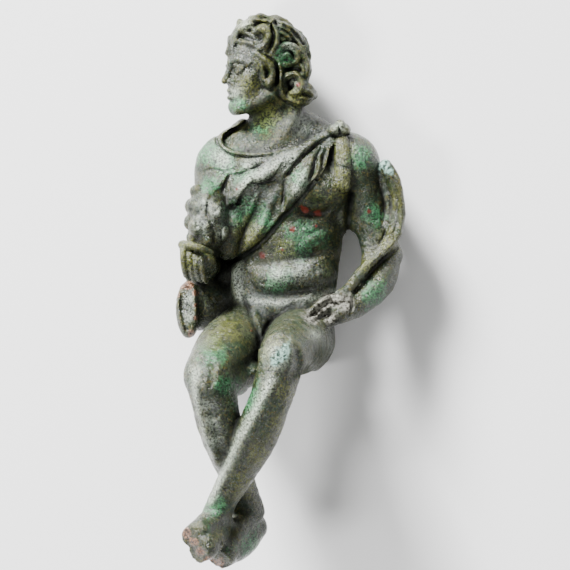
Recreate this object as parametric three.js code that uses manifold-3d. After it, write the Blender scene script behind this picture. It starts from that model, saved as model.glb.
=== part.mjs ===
// A seated bronze faun statuette, solid cast in one piece, lying on its back.
// Units are millimetres. X runs to the figure's left, Y from its feet to its head,
// and Z up from the surface it lies on, so the chest and the knees face up.
//
// The figure is modelled as clay: every muscle, fold, finger and lock is a rounded form that is
// blended into the lump or cut out of it, and the skin of the lump becomes the mesh.

import * as THREE from 'three';
import { SimplifyModifier } from 'three/addons/modifiers/SimplifyModifier.js';
import { mergeVertices } from 'three/addons/utils/BufferGeometryUtils.js';
import Module from 'manifold-3d';

const at = (x, y, z) => new THREE.Vector3(x, y, z);

// Clay: a grid of distances to the surface, negative inside.

const CELL = 0.55;
const CORNER_LOW = at(-22, -50, -2);
const CORNER_HIGH = at(22, 50, 41);
const FAR = 9;
const REACH = 2.6;

// The smaller of two distances, rounded over a width of blend where they meet.
function softMin(a, b, blend) {
  if (blend <= 0) return Math.min(a, b);
  const overlap = Math.max(blend - Math.abs(a - b), 0) / blend;
  return Math.min(a, b) - (overlap * overlap * blend) / 4;
}

class Clay {
  constructor() {
    this.count = ['x', 'y', 'z'].map((k) => Math.ceil((CORNER_HIGH[k] - CORNER_LOW[k]) / CELL) + 1);
    this.value = new Float32Array(this.count[0] * this.count[1] * this.count[2]).fill(FAR);
  }

  index(i, j, k) {
    return (k * this.count[1] + j) * this.count[0] + i;
  }

  // Calls change(value, x, y, z) on every grid point inside the box of a form, and stores the result.
  each(box, margin, change) {
    const low = [];
    const high = [];
    ['x', 'y', 'z'].forEach((axis, n) => {
      low[n] = Math.max(0, Math.floor((box.min[axis] - margin - CORNER_LOW[axis]) / CELL));
      high[n] = Math.min(this.count[n] - 1, Math.ceil((box.max[axis] + margin - CORNER_LOW[axis]) / CELL));
    });
    for (let k = low[2]; k <= high[2]; k++)
      for (let j = low[1]; j <= high[1]; j++)
        for (let i = low[0]; i <= high[0]; i++) {
          const n = this.index(i, j, k);
          this.value[n] = change(
            this.value[n],
            CORNER_LOW.x + i * CELL,
            CORNER_LOW.y + j * CELL,
            CORNER_LOW.z + k * CELL,
          );
        }
  }

  add(form, blend = 0) {
    this.each(form.box, REACH + blend, (v, x, y, z) => softMin(v, form.distance(x, y, z), blend));
    return this;
  }

  carve(form, blend = 0) {
    this.each(form.box, REACH + blend, (v, x, y, z) => -softMin(-v, form.distance(x, y, z), blend));
    return this;
  }

  // Joins another lump of clay to this one.
  join(other, blend = 0) {
    this.value.forEach((v, n) => {
      this.value[n] = softMin(v, other.value[n], blend);
    });
    return this;
  }

  // A new lump: this one grown by a thickness, kept only where inside(x, y, z) is negative.
  coat(thickness, inside, rounding) {
    const coat = new Clay();
    const whole = new THREE.Box3(CORNER_LOW, CORNER_HIGH);
    coat.each(whole, 0, (_, x, y, z) => {
      const i = Math.round((x - CORNER_LOW.x) / CELL);
      const j = Math.round((y - CORNER_LOW.y) / CELL);
      const k = Math.round((z - CORNER_LOW.z) / CELL);
      return -softMin(-(this.value[this.index(i, j, k)] - thickness), -inside(x, y, z), rounding);
    });
    return coat;
  }

  // The height of the highest surface over a point of the plan, or of the lowest one from below.
  // Beside the lump it is the height at which the lump comes nearest.
  surface(x, y, fromBelow = false) {
    const i = Math.round((x - CORNER_LOW.x) / CELL);
    const j = Math.round((y - CORNER_LOW.y) / CELL);
    const last = this.count[2] - 1;
    const step = fromBelow ? 1 : -1;
    let nearest = 0;
    for (let k = fromBelow ? 0 : last; k >= 0 && k <= last; k += step) {
      const here = this.value[this.index(i, j, k)];
      if (here < 0) {
        const before = this.value[this.index(i, j, k - step)];
        return CORNER_LOW.z + (k - (step * here) / (here - before)) * CELL;
      }
      if (here < this.value[this.index(i, j, nearest)]) nearest = k;
    }
    return CORNER_LOW.z + nearest * CELL;
  }
}

// Forms: each has a distance(x, y, z), negative inside, and the box that holds it.

// A tube through stations of [x, y, z, radius], round, or flattened to a share of its width along
// a direction.
function tube(stations, flat = null) {
  const box = new THREE.Box3();
  for (const [x, y, z, r] of stations) {
    box.expandByPoint(at(x - r, y - r, z - r)).expandByPoint(at(x + r, y + r, z + r));
  }
  const along = flat ? flat.along.clone().normalize() : null;
  const distance = (x, y, z) => {
    let best = FAR;
    for (let n = 0; n + 1 < stations.length; n++) {
      const [ax, ay, az, ar] = stations[n];
      const [bx, by, bz, br] = stations[n + 1];
      const [ux, uy, uz] = [bx - ax, by - ay, bz - az];
      const length = ux * ux + uy * uy + uz * uz;
      const share = ((x - ax) * ux + (y - ay) * uy + (z - az) * uz) / length;
      const t = Math.min(1, Math.max(0, share));
      const [dx, dy, dz] = [x - ax - t * ux, y - ay - t * uy, z - az - t * uz];
      const radius = ar + t * (br - ar);
      const away = Math.hypot(dx, dy, dz);
      if (!along) {
        best = Math.min(best, away - radius);
        continue;
      }
      const side = dx * along.x + dy * along.y + dz * along.z;
      const extra = side * side * (1 / (flat.share * flat.share) - 1);
      const squashed = Math.sqrt(away * away + extra) + 1e-6;
      best = Math.min(best, ((squashed - radius) * away) / squashed);
    }
    return best;
  };
  return { box, distance };
}

// A tube whose stations are joined by a smooth curve.
function limb(stations, flat = null, steps = 5) {
  const curve = new THREE.CatmullRomCurve3(stations.map(([x, y, z]) => at(x, y, z)));
  const last = stations.length - 1;
  const made = [];
  for (let n = 0; n <= last * steps; n++) {
    const p = curve.getPoint(n / (last * steps));
    const from = Math.min(last - 1, Math.floor(n / steps));
    const radius = THREE.MathUtils.lerp(stations[from][3], stations[from + 1][3], n / steps - from);
    made.push([p.x, p.y, p.z, radius]);
  }
  return tube(made, flat);
}

// An ellipsoid about a centre, with its radii along the three axes.
function bulge([cx, cy, cz], [rx, ry, rz]) {
  const distance = (x, y, z) => {
    const [dx, dy, dz] = [x - cx, y - cy, z - cz];
    const k0 = Math.hypot(dx / rx, dy / ry, dz / rz);
    const k1 = Math.hypot(dx / (rx * rx), dy / (ry * ry), dz / (rz * rz));
    return k1 < 1e-6 ? -Math.min(rx, ry, rz) : (k0 * (k0 - 1)) / k1;
  };
  const box = new THREE.Box3(at(cx - rx, cy - ry, cz - rz), at(cx + rx, cy + ry, cz + rz));
  return { box, distance };
}

// A form made in axes of its own, set in its place by a matrix of turns and shifts.
function placed(form, matrix) {
  const back = matrix.clone().invert();
  const point = at(0, 0, 0);
  const distance = (x, y, z) => {
    point.set(x, y, z).applyMatrix4(back);
    return form.distance(point.x, point.y, point.z);
  };
  return { box: form.box.clone().applyMatrix4(matrix), distance };
}

// The stations of a line of the plan, [x, y, radius], laid on a lump and lifted off its surface.
function laidOn(clay, line, lift = 0, fromBelow = false) {
  return line.map(([x, y, r]) => {
    const z = clay.surface(x, y, fromBelow);
    return [x, y, z + (fromBelow ? -lift : lift), r];
  });
}

// The signed distance from a point of the plan to a closed outline, negative inside it.
function outlineDistance(outline, x, y) {
  let nearest = Infinity;
  let inside = false;
  outline.forEach(([ax, ay], n) => {
    const [bx, by] = outline[(n + 1) % outline.length];
    const [ux, uy] = [bx - ax, by - ay];
    const share = ((x - ax) * ux + (y - ay) * uy) / (ux * ux + uy * uy);
    const t = Math.min(1, Math.max(0, share));
    nearest = Math.min(nearest, Math.hypot(x - ax - t * ux, y - ay - t * uy));
    if (ay > y !== by > y && x < ax + ((y - ay) / (by - ay)) * ux) inside = !inside;
  });
  return inside ? -nearest : nearest;
}

// Both sides of a body: the same stations with x as given and mirrored.
const mirrored = (stations) => stations.map(([x, ...rest]) => [-x, ...rest]);

// The trunk: ellipses stacked from the seat to the neck, as
// [y, middle x, half width, middle z, half depth].

const TRUNK = [
  [-11, -2.2, 7.6, 6.4, 5.4],
  [-7, -1.4, 8.9, 6.6, 6.2],
  [-2, -0.9, 8.9, 6.9, 6.1],
  [3, -0.8, 9.3, 6.9, 5.7],
  [8, -0.9, 10.1, 6.8, 5.9],
  [12, -1.4, 11.0, 6.8, 6.3],
  [16.5, -1.8, 11.8, 7.0, 6.5],
  [20.5, -1.8, 12.0, 7.2, 5.8],
  [24, -1.9, 9.6, 7.4, 4.9],
  [27, -2.2, 6.0, 7.6, 4.4],
];

function trunk(sections) {
  const bottom = sections[0][0];
  const top = sections[sections.length - 1][0];
  const section = (y) => {
    const level = Math.min(top, Math.max(bottom, y));
    let n = 0;
    while (n < sections.length - 2 && sections[n + 1][0] < level) n++;
    const t = (level - sections[n][0]) / (sections[n + 1][0] - sections[n][0]);
    const eased = t * t * (3 - 2 * t) * 0.5 + t * 0.5;
    return sections[n].map((v, m) => v + eased * (sections[n + 1][m] - v));
  };
  const distance = (x, y, z) => {
    const [, cx, rx, cz, rz] = section(y);
    const [dx, dz] = [x - cx, z - cz];
    const k0 = Math.hypot(dx / rx, dz / rz);
    const k1 = Math.hypot(dx / (rx * rx), dz / (rz * rz)) + 1e-6;
    const around = k0 < 0.1 ? -Math.min(rx, rz) : (k0 * (k0 - 1)) / k1;
    return -softMin(-around, -Math.max(y - top, bottom - y), 3);
  };
  const box = new THREE.Box3(at(-16, bottom, -1), at(13, top, 15));
  return { box, distance };
}

function makeBody() {
  const body = new Clay();
  body.add(trunk(TRUNK));

  // Buttocks, and the thighs that come forward off the lost seat to the knees.
  body.add(bulge([-6.6, -8.4, 5.3], [5.9, 6.0, 5.8]), 1.5);
  body.add(bulge([2.2, -9.2, 5.3], [5.5, 5.9, 5.8]), 1.5);
  body.add(limb([[-7.2, -8.2, 8, 5.9], [-10.9, -11.2, 19, 5.7], [-14.1, -15.2, 30, 4.4]]), 1.5);
  body.add(limb([[2.0, -9.0, 8, 5.7], [0.9, -9.8, 20, 5.5], [-1.2, -11.4, 32, 4.2]]), 1.5);

  // Shins, with the calf behind and the knee cap in front.
  body.add(limb([[-13.7, -16.6, 30.4, 4.2], [-12.2, -24, 28.4, 3.8], [-10.4, -30, 24.5, 3.1],
    [-8.5, -34.5, 20.4, 2.6], [-6.7, -39.2, 17, 2.3]]), 0.8);
  body.add(limb([[-1.3, -12.0, 32.6, 4.2], [-4.0, -19.6, 32.4, 4.2], [-6.1, -26, 30.4, 3.9],
    [-8.8, -31.5, 27.6, 3.1], [-11.0, -35.6, 25.4, 2.6], [-12.6, -38.9, 23.6, 2.5]]), 0.8);
  body.add(bulge([-14.0, -16.2, 34.0], [2.2, 2.7, 1.4]), 1.2);
  body.add(bulge([-9.6, -16.4, 25.0], [2.6, 2.4, 5.0]), 1.5);
  body.add(bulge([-1.2, -11.6, 35.8], [2.2, 2.7, 1.4]), 1.2);

  // Shoulders and arms.
  body.add(bulge([-10.9, 21.2, 7.6], [4.8, 5.0, 4.8]), 2.5);
  body.add(bulge([10.8, 22.0, 7.4], [4.7, 5.1, 4.7]), 2.5);
  body.add(limb([[-3, 27.8, 6.8, 3.0], [-7.0, 25.9, 7, 3.2], [-10.2, 22.7, 7, 3.0]]), 2);
  body.add(limb([[-0.6, 29.2, 6.8, 3.3], [4.2, 27.0, 7, 3.3], [9, 24.5, 7, 2.9]]), 2);
  body.add(limb([[-11.3, 20.4, 7.4, 4.1], [-13.4, 12.5, 6.4, 3.4], [-14.6, 5, 5.6, 3.1]]), 1.5);
  body.add(limb([[-14.8, 4.6, 5.6, 3.0], [-15.2, 4.2, 10.5, 2.8], [-15.2, 4.2, 16.5, 2.2]]), 0.8);
  body.add(limb([[11.2, 21.6, 7.2, 4.3], [12.9, 15.6, 6.9, 3.6], [14.8, 10.4, 6.5, 3.0],
    [16.9, 5.8, 6.4, 2.7]]), 1.5);
  body.add(bulge([10.0, 14.4, 6.6], [2.4, 4.6, 3.8]), 1.5);
  body.add(limb([[16.9, 5.8, 6.6, 2.8], [15.6, 1.2, 8.8, 2.9], [12.2, -2.5, 12, 2.3],
    [8.8, -4.3, 14.8, 1.9]]), 0.8);

  // Neck, and the muscle that runs from behind the ear to the pit of the throat.
  body.add(limb([[-2.2, 24, 7.4, 5.4], [-2.5, 29, 8.0, 4.6], [-3.0, 35, 8.6, 4.6]]), 2.5);
  body.add(limb([[1.6, 33.5, 10.6, 1.2], [0.2, 29.5, 11.9, 1.2], [-2.4, 25.4, 12.4, 0.9]]), 1.2);

  // Breast, ribs and the folds of a seated belly.
  body.add(bulge([4.8, 17.4, 11.2], [5.4, 4.2, 2.9]), 1.5);
  body.add(bulge([-8.0, 17.4, 11.2], [5.4, 4.2, 2.9]), 1.5);
  body.add(bulge([-0.8, 9.8, 9.4], [8.8, 4.4, 3.7]), 1.2);
  body.add(bulge([-0.6, 2.2, 9.6], [8.4, 4.5, 4.0]), 1.0);
  body.add(bulge([-1.6, -5.0, 9.4], [6.6, 3.4, 4.4]), 1.0);
  for (const crease of UPPER_CREASES) body.carve(limb(laidOn(body, crease, 0.25)), 0.9);
  return body;
}

// Creases of the belly and the groin, as lines of [x, y, radius] on the plan.
const UPPER_CREASES = [
  [[-6.8, 5.0, 0.3], [-2, 5.4, 0.5], [3.5, 7.0, 0.5], [8.4, 9.4, 0.3]],
  [[-7.0, -0.8, 0.3], [-3, -2.4, 0.5], [2.5, -2.4, 0.5], [7.6, 0.4, 0.3]],
  [[-6.8, -1.6, 0.3], [-5.0, -6.4, 0.5], [-4.4, -10.0, 0.5]],
  [[1.6, -3.6, 0.3], [-2.6, -7.0, 0.5], [-4.3, -9.8, 0.4]],
];

// The skin of a lump as a closed mesh. Each grid cube is split into six tetrahedra, and each
// tetrahedron that the surface crosses gives one or two triangles.
function skin(clay) {
  const { value } = clay;
  const [nx, ny, nz] = clay.count;
  const stride = [1, nx, nx * ny];
  const offset = (corner) => (corner & 1) * stride[0] + ((corner >> 1) & 1) * stride[1]
    + (corner >> 2) * stride[2];
  const paths = [[1, 2], [1, 4], [2, 1], [2, 4], [4, 1], [4, 2]];
  const tetrahedra = paths.map(([a, b]) => [0, a, a | b, 7]);
  const positions = [];
  const triangles = [];
  const known = new Map();
  let cube = [0, 0, 0];
  let node = 0;

  const crossing = (one, two) => {
    const [a, b] = one < two ? [one, two] : [two, one];
    const key = (node + offset(a)) * 8 + (a ^ b);
    if (known.has(key)) return known.get(key);
    const va = value[node + offset(a)];
    const share = va / (va - value[node + offset(b)]);
    const corner = (c, n) => cube[n] + ((c >> n) & 1);
    [CORNER_LOW.x, CORNER_LOW.y, CORNER_LOW.z].forEach((low, n) => {
      positions.push(low + CELL * (corner(a, n) + share * (corner(b, n) - corner(a, n))));
    });
    known.set(key, positions.length / 3 - 1);
    return known.get(key);
  };
  const point = (n) => at(...positions.slice(3 * n, 3 * n + 3));
  const face = (a, b, c, outward) => {
    const normal = point(b).sub(point(a)).cross(point(c).sub(point(a)));
    triangles.push(...(normal.dot(outward) > 0 ? [a, b, c] : [a, c, b]));
  };
  const middle = (corners) => corners.reduce(
    (sum, c) => sum.add(at(c & 1, (c >> 1) & 1, c >> 2).divideScalar(corners.length)), at(0, 0, 0));

  for (let k = 0; k + 1 < nz; k++)
    for (let j = 0; j + 1 < ny; j++)
      for (let i = 0; i + 1 < nx; i++) {
        node = clay.index(i, j, k);
        const signs = [0, 1, 2, 3, 4, 5, 6, 7].filter((c) => value[node + offset(c)] < 0).length;
        if (signs === 0 || signs === 8) continue;
        cube = [i, j, k];
        for (const corners of tetrahedra) {
          const inner = corners.filter((c) => value[node + offset(c)] < 0);
          const outer = corners.filter((c) => value[node + offset(c)] >= 0);
          if (!inner.length || !outer.length) continue;
          const outward = middle(outer).sub(middle(inner));
          if (inner.length === 2) {
            const [a, b] = inner;
            const [c, d] = outer;
            face(crossing(a, c), crossing(a, d), crossing(b, d), outward);
            face(crossing(a, c), crossing(b, d), crossing(b, c), outward);
          } else {
            const [one, others] = inner.length === 1 ? [inner[0], outer] : [outer[0], inner];
            face(...others.map((c) => crossing(one, c)), outward);
          }
        }
      }
  return new THREE.BufferGeometry()
    .setAttribute('position', new THREE.Float32BufferAttribute(positions, 3))
    .setIndex(triangles);
}

// The head, in axes of its own: X to its left ear, Y up, Z out of the face. It looks over the
// right shoulder.
const HEAD = new THREE.Matrix4()
  .makeBasis(at(0.375, 0, 0.927), at(0, 1, 0), at(-0.927, 0, 0.375))
  .setPosition(-5.0, 38.8, 9.0);

function addHead(body) {
  const add = (form, blend) => body.add(placed(form, HEAD), blend);
  const carve = (form, blend) => body.carve(placed(form, HEAD), blend);
  const pair = (change, stations, blend) => {
    change(limb(stations), blend);
    change(limb(mirrored(stations)), blend);
  };

  // Skull, face, jaw and cheeks.
  add(bulge([0, 2, -0.8], [5.2, 6.0, 6.6]), 1.2);
  add(bulge([0, -3.2, 2.2], [3.9, 5.0, 3.9]), 1.2);
  pair(add, [[3.9, -1.8, -0.6, 1.3], [3.5, -5.2, 0.4, 1.2], [1.2, -7.2, 4.6, 1.1]], 1.2);
  add(bulge([0, -7.0, 4.9], [1.5, 1.3, 1.3]), 0.8);
  pair(add, [[2.8, -1.8, 3.4, 1.5], [2.6, -3.4, 3.6, 1.3]], 1.0);

  // Brow, eyes, nose and mouth.
  pair(add, [[0.3, 1.0, 6.0, 0.55], [2.2, 1.3, 5.6, 0.55], [3.7, 0.6, 4.2, 0.5]], 0.6);
  for (const side of [-1, 1]) {
    carve(bulge([2.05 * side, -0.2, 6.3], [1.5, 1.0, 1.1]), 0.8);
    add(bulge([2.05 * side, -0.2, 4.9], [1.05, 0.9, 1.0]), 0.2);
  }
  add(limb([[0, 0.6, 5.9, 0.6], [0, -1.4, 6.6, 0.65], [0, -2.4, 7.0, 0.8]]), 0.5);
  add(limb([[-1.4, -4.4, 5.8, 0.35], [0, -4.1, 6.5, 0.5], [1.4, -4.4, 5.8, 0.35]]), 0.4);
  add(limb([[-1.1, -5.3, 5.8, 0.35], [0, -5.5, 6.4, 0.55], [1.1, -5.3, 5.8, 0.35]]), 0.4);
  carve(limb([[-1.4, -4.8, 6.3, 0.2], [0, -4.8, 7.0, 0.2], [1.4, -4.8, 6.3, 0.2]]), 0.2);

  // The cap of hair, the locks on it, and a pointed ear on each side.
  add(bulge(CAP.centre, CAP.radii), 0.6);
  body.add(bulge([2.4, 34.2, 9.5], [1.8, 2.2, 2.4]), 0.8);
  const seen = LOCKS.map((row) => limb(lockOnPlan(body, row)));
  const hidden = HIDDEN_ROWS.flatMap((row) => rowOfLocks(row)).map((row) => placed(limb(row), HEAD));
  for (const form of [...seen, ...hidden]) body.add(form, 0.15);
  pair(carve, [[5.4, 0.4, 0.5, 0.5], [5.3, -2.4, -0.1, 0.6], [4.6, -4.5, 0.2, 0.5]], 0.3);
  pair(add, [[3.9, 2.6, 3.8, 0.45], [4.9, 1.4, 2.8, 0.6], [5.7, 0.3, 1.7, 0.6],
    [5.9, -1.2, 1.3, 0.6], [4.9, -3.0, 1.9, 0.5]], 0.2);
  pair(add, [[4.3, 1.6, 3.6, 0.4], [4.5, -0.6, 3.6, 0.4], [4.7, -2.6, 2.6, 0.4]], 0.3);
}

// The rounded mass that the locks of hair lie on, in the axes of the head.
const CAP = { centre: [0, 2.4, -0.7], radii: [5.5, 6.1, 6.0] };

// Locks on the side seen from above, as [x, y, end x, end y, bow to the left, radius] on the plan.
const LOCKS = [
  [-4.9, 47.5, -8.8, 46.8, 0.5, 0.9],
  [-8.8, 46.6, -10.2, 43.8, 0.5, 1.0],
  [-6.7, 46.3, -8.2, 45.2, 0.3, 0.9],
  [-10.3, 43.8, -11, 41.3, 0.2, 0.8],
  [-8.2, 43.3, -5.6, 42, 0.3, 0.6],
  [-3.9, 46.1, -5.8, 45.4, 0.6, 0.9],
  [-5.8, 45.4, -4.9, 42.6, 0.8, 0.8],
  [-3.7, 45.6, -4, 42.6, -0.8, 0.8],
  [-3.2, 47.5, -2.5, 42.6, -0.8, 0.7],
  [-2.5, 47.3, 1.1, 44.7, 0.4, 0.8],
  [-1.6, 45.9, 1.8, 43.1, 0.5, 0.8],
  [-1.9, 44.2, 1.8, 41, 0.9, 0.8],
  [1.6, 44.5, 3.3, 40.3, 0.4, 0.8],
  [-2.1, 42.4, 0.7, 39.2, -0.6, 0.8],
  [1.6, 41.7, 2.5, 36.4, 0.3, 0.9],
  [0, 37.7, 1.8, 35.7, 1.0, 0.8],
  [-0.4, 37.3, 1.6, 35, -1.0, 0.8],
  [-1.8, 36.4, 0, 33.5, -0.4, 0.8],
  [2.3, 35.4, 4.2, 33.8, 0.4, 1.1],
  [0.7, 34, 3, 32.8, -0.4, 1.1],
];

function lockOnPlan(body, [x, y, endX, endY, bow, radius]) {
  const [ux, uy] = [endX - x, endY - y];
  const length = Math.hypot(ux, uy);
  const line = [0, 0.35, 0.7, 1].map((t) => {
    const aside = (bow * Math.sin(Math.PI * t)) / length;
    return [x + t * ux - uy * aside, y + t * uy + ux * aside, radius * (1 - 0.4 * t)];
  });
  return laidOn(body, line, 0.1);
}

// Locks on the far side and the back, in rows as [rise, first turn, last turn, number, fall], in
// degrees round the head from the face.
const HIDDEN_ROWS = [
  [62, 170, 350, 6, 30],
  [36, 165, 345, 8, 30],
  [-2, 172, 280, 6, 30],
  [-32, 176, 250, 4, 22],
];

function rowOfLocks([rise, first, last, number, fall]) {
  const onCap = (turn, height) => {
    const [a, b] = [turn, height].map((angle) => THREE.MathUtils.degToRad(angle));
    const unit = [Math.sin(a) * Math.cos(b), Math.sin(b), Math.cos(a) * Math.cos(b)];
    return unit.map((v, n) => CAP.centre[n] + v * (CAP.radii[n] + 0.1));
  };
  return [...Array(number).keys()].map((n) => {
    const turn = first + ((last - first) * n) / (number - 1);
    const sway = n % 2 ? 9 : -9;
    return [
      [...onCap(turn, rise), 0.9],
      [...onCap(turn + sway, rise - fall / 2), 0.9],
      [...onCap(turn - sway / 2, rise - fall), 0.6],
    ];
  });
}

// The animal skin worn as a cloak: corners of its hem, seen from the front and from behind, and
// the height that parts the two.
const CLOAK_THICKNESS = 0.9;
const SIDE_HEIGHT = 6.5;
const HEM_FRONT = [
  [8.8, 28.6], [4.9, 27.2], [1.8, 25.1], [-1.9, 23.5], [-5.3, 23.1], [-8.8, 23.5], [-11.4, 24.6],
  [-12.8, 26.6], [-10.5, 28.4], [-7.7, 29.6], [-14, 31], [-22, 26], [-22, 15.5], [-17, 17.5],
  [-13.5, 15.8], [-12, 16.5], [-10.7, 14], [-9.5, 11], [-10.4, 7], [-11.4, 4.3], [-10.3, 4.2],
  [-8, 5.8], [-5.3, 8.2], [-1.1, 13.3], [1.9, 15.8], [3.3, 18.4], [5.8, 19.8], [6.3, 21],
  [7.5, 24], [9, 27],
];
const HEM_BACK = [
  [9.5, 28.6], [2, 29.5], [-6, 29.5], [-14, 31], [-22, 26], [-22, -5], [-13, -6], [-6, -2], [2, 5],
  [8, 14], [12, 24],
];

// Folds that run down from the knot on the left shoulder, as lines of [x, y, radius], and the
// slots under their edges.
const FOLDS = [
  [[7, 27.5, 0.6], [1.8, 24.9, 0.7], [-1.2, 22.4, 0.9], [-4.9, 20.5, 1.1], [-7.7, 18.6, 1.1],
    [-9.3, 16.6, 0.9], [-10.5, 14.4, 0.6]],
  [[4.4, 24.2, 0.5], [1.8, 22.3, 0.8], [0.2, 20.7, 0.7]],
  [[6.1, 24.5, 0.5], [4, 22.1, 0.8], [2.5, 18.9, 1.2], [1.2, 16.8, 1.0], [-0.5, 14.2, 0.6]],
  [[6.5, 23.8, 0.4], [5.1, 21.2, 0.6], [4.7, 19.3, 0.5]],
  [[-0.7, 18.2, 0.6], [-3.9, 14.5, 1.0], [-7.4, 9.8, 1.0], [-9.5, 7, 0.7]],
  [[-14.4, 22.8, 0.8], [-14.2, 20, 1.2], [-13.5, 16.8, 0.7]],
  [[-11, 21.9, 0.8], [-10.7, 18.6, 1.1], [-10.5, 14.9, 0.7]],
  [[-12.6, 26.8, 0.5], [-11.9, 24.9, 0.5], [-8.8, 23.5, 0.5], [-5.3, 23.1, 0.5], [-1.4, 23.7, 0.5]],
];
const SLOTS = [
  [[-1.6, 21, 0.2], [-4.9, 18.9, 0.4], [-7, 17.7, 0.6], [-8.8, 15.8, 0.6], [-10.2, 13.8, 0.4]],
  [[2.6, 22.4, 0.3], [1.2, 21, 0.4], [0.2, 19.6, 0.3]],
  [[3.3, 19.6, 0.3], [4.2, 21, 0.4], [4.9, 23.3, 0.2]],
  [[-12.3, 21, 0.3], [-12.1, 18, 0.4], [-11.9, 15.8, 0.4]],
];

function addCloak(body) {
  const inside = (x, y, z) => outlineDistance(z > SIDE_HEIGHT ? HEM_FRONT : HEM_BACK, x, y);
  body.join(body.coat(CLOAK_THICKNESS, inside, 0.5));
  const folds = FOLDS.map((line) => limb(laidOn(body, line, -0.2)));
  for (const fold of folds) body.add(fold, 0.5);
  for (const line of SLOTS) body.carve(limb(laidOn(body, line, 0.1)), 0.3);

  // Folds across the back, from the left shoulder to the right hip.
  for (const line of BACK_FOLDS) body.carve(limb(laidOn(body, line, 0.1, true)), 0.9);

  // The knot, and the paw that hangs from it.
  body.add(bulge([7.9, 27.5, 10.6], [1.4, 1.1, 2.0]), 0.4);
  body.add(bulge([9.3, 27.9, 10.0], [1.3, 1.3, 2.0]), 0.4);
  const paw = [[9.1, 26.8, 1.0], [9.3, 24.2, 1.25], [9.1, 21.5, 1.15], [9.3, 19.3, 1.35],
    [9.3, 17.3, 1.2]];
  body.add(limb(laidOn(body, paw, 0.5)), 0.2);
}

const BACK_FOLDS = [
  [[7.5, 20, 0.5], [0, 10, 0.8], [-9, 0, 0.5]],
  [[5.0, 23, 0.5], [-3, 13, 0.9], [-11, 5, 0.6]],
  [[1.5, 25, 0.4], [-5, 18, 0.8], [-12, 11, 0.6]],
  [[-3, 26, 0.3], [-9, 21, 0.7], [-14, 16, 0.5]],
];

// The bunch of fruit in the crook of the right arm, as [x, y, radius].
const FRUIT = [
  [-15.9, 17.2, 1.1], [-16.3, 14, 1.2], [-13, 13.3, 1.4], [-16.3, 10.9, 1.6], [-14.4, 13, 1.0],
  [-11.9, 9.6, 1.3], [-14.2, 10, 1.0], [-17.9, 8.9, 1.0],
];

const BUNCH = { centre: [-14.2, 12.0, 13.5], radii: [4.0, 6.8, 4.8] };

// The fruit on the outer side of the bunch: rows round it, each shifted against the last.
function outerFruit() {
  const { centre: [cx, cy, cz], radii: [rx, ry, rz] } = BUNCH;
  return [-0.55, -0.1, 0.35, 0.75].flatMap((height, row) => [0, 1, 2].map((n) => {
    const turn = THREE.MathUtils.degToRad(-62 - 32 * n - 16 * (row % 2));
    const width = Math.sqrt(1 - height * height);
    return [cx + rx * width * Math.sin(turn), cy + ry * height, cz + rz * width * Math.cos(turn), 1.3];
  }));
}

function addRightHand(body) {
  body.add(bulge(BUNCH.centre, BUNCH.radii), 0.6);
  const fruit = FRUIT.map(([x, y, r]) => [x, y, body.surface(x, y) + 0.1, r]);
  for (const [x, y, z, r] of [...fruit, ...outerFruit()]) body.add(bulge([x, y, z], [r, r, r]), 0.1);

  // The palm, the fingers closed over its front, and the thumb across the top.
  body.add(limb([[-17.0, 4.6, 17.6, 2.3], [-14.4, 3.4, 17.2, 2.7], [-12.4, 3.6, 15.6, 2.2]]), 0.8);
  for (const x of [-18.8, -17.6, -16.4, -15.2]) {
    const finger = [[x, 6.2, 18.6, 0.6], [x, 4.2, 19.9, 0.7], [x + 0.2, 2.0, 19.4, 0.65],
      [x + 0.6, 0.6, 17.8, 0.55]];
    body.add(limb(finger), 0.1);
  }
  body.add(limb([[-18.9, 7.8, 18.2, 0.9], [-16.0, 7.4, 20.0, 0.9], [-13.2, 6.0, 19.4, 0.8]]), 0.3);
}

// The end of the cloak that hangs outside the right thigh: it fans out to an open, hollow mouth.
function addHangingFold(body) {
  const down = [[-15.5, 5.5, 3.4, 2.2], [-15.2, 0.5, 4.6, 3.2], [-16.2, -3.7, 6.0, 3.8]];
  body.add(limb(down), 1.2);
  body.add(limb([[-11.5, -2.5, 4.5, 3.6], [-14.5, -3.2, 6, 3.4]]), 1.5);
  body.add(bulge([-17.6, -3.7, 9.0], [2.7, 5.2, 2.6]), 1.0);
  body.carve(bulge([-18.6, -3.4, 12.0], [1.0, 3.5, 2.2]), 0.2);
}

// The left hand, worn to two ridges on the thigh, and the stick along the arm.
function addLeftHand(body) {
  body.add(limb([[9.6, -2.2, 14.2, 1.8], [6.1, -3.2, 15.2, 1.3], [3.5, -4.5, 16.2, 0.8],
    [1.8, -5.6, 16.2, 0.6]]), 0.4);
  body.add(limb([[9.6, -4.0, 14.2, 1.7], [7.0, -5.8, 15.0, 1.1], [4.4, -6.6, 15.8, 0.8]]), 0.4);
  body.carve(limb(laidOn(body, [[6.6, -4.4, 0.5], [3.6, -5.9, 0.4]], 0.2)), 0.3);
}

function addStick(body) {
  const strap = { along: at(1, 0.1, -0.9), share: 0.6 };
  body.add(limb([[16.8, 21.2, 9.5, 1.5], [18.2, 18.9, 9.6, 1.5], [18.9, 15.9, 9.4, 1.5],
    [19.1, 13, 9.2, 1.5], [18.6, 10.2, 9.6, 1.4]], strap), 0.3);
  body.add(limb([[15.8, 20.3, 7.4, 1.6], [17.2, 17.2, 7.4, 2.0], [17.5, 13.7, 7.5, 2.2],
    [17.2, 10.5, 8, 2.2]]), 0.8);
  body.add(limb([[18.7, 10.5, 9.6, 1.2], [16.8, 7.4, 9.9, 1.1], [14.2, 4.7, 11.2, 1.0],
    [12.3, 2.5, 12.4, 1.0], [10.3, 0, 13.8, 0.9], [8.6, -1.1, 14.8, 0.8]]), 0.3);
}

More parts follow.
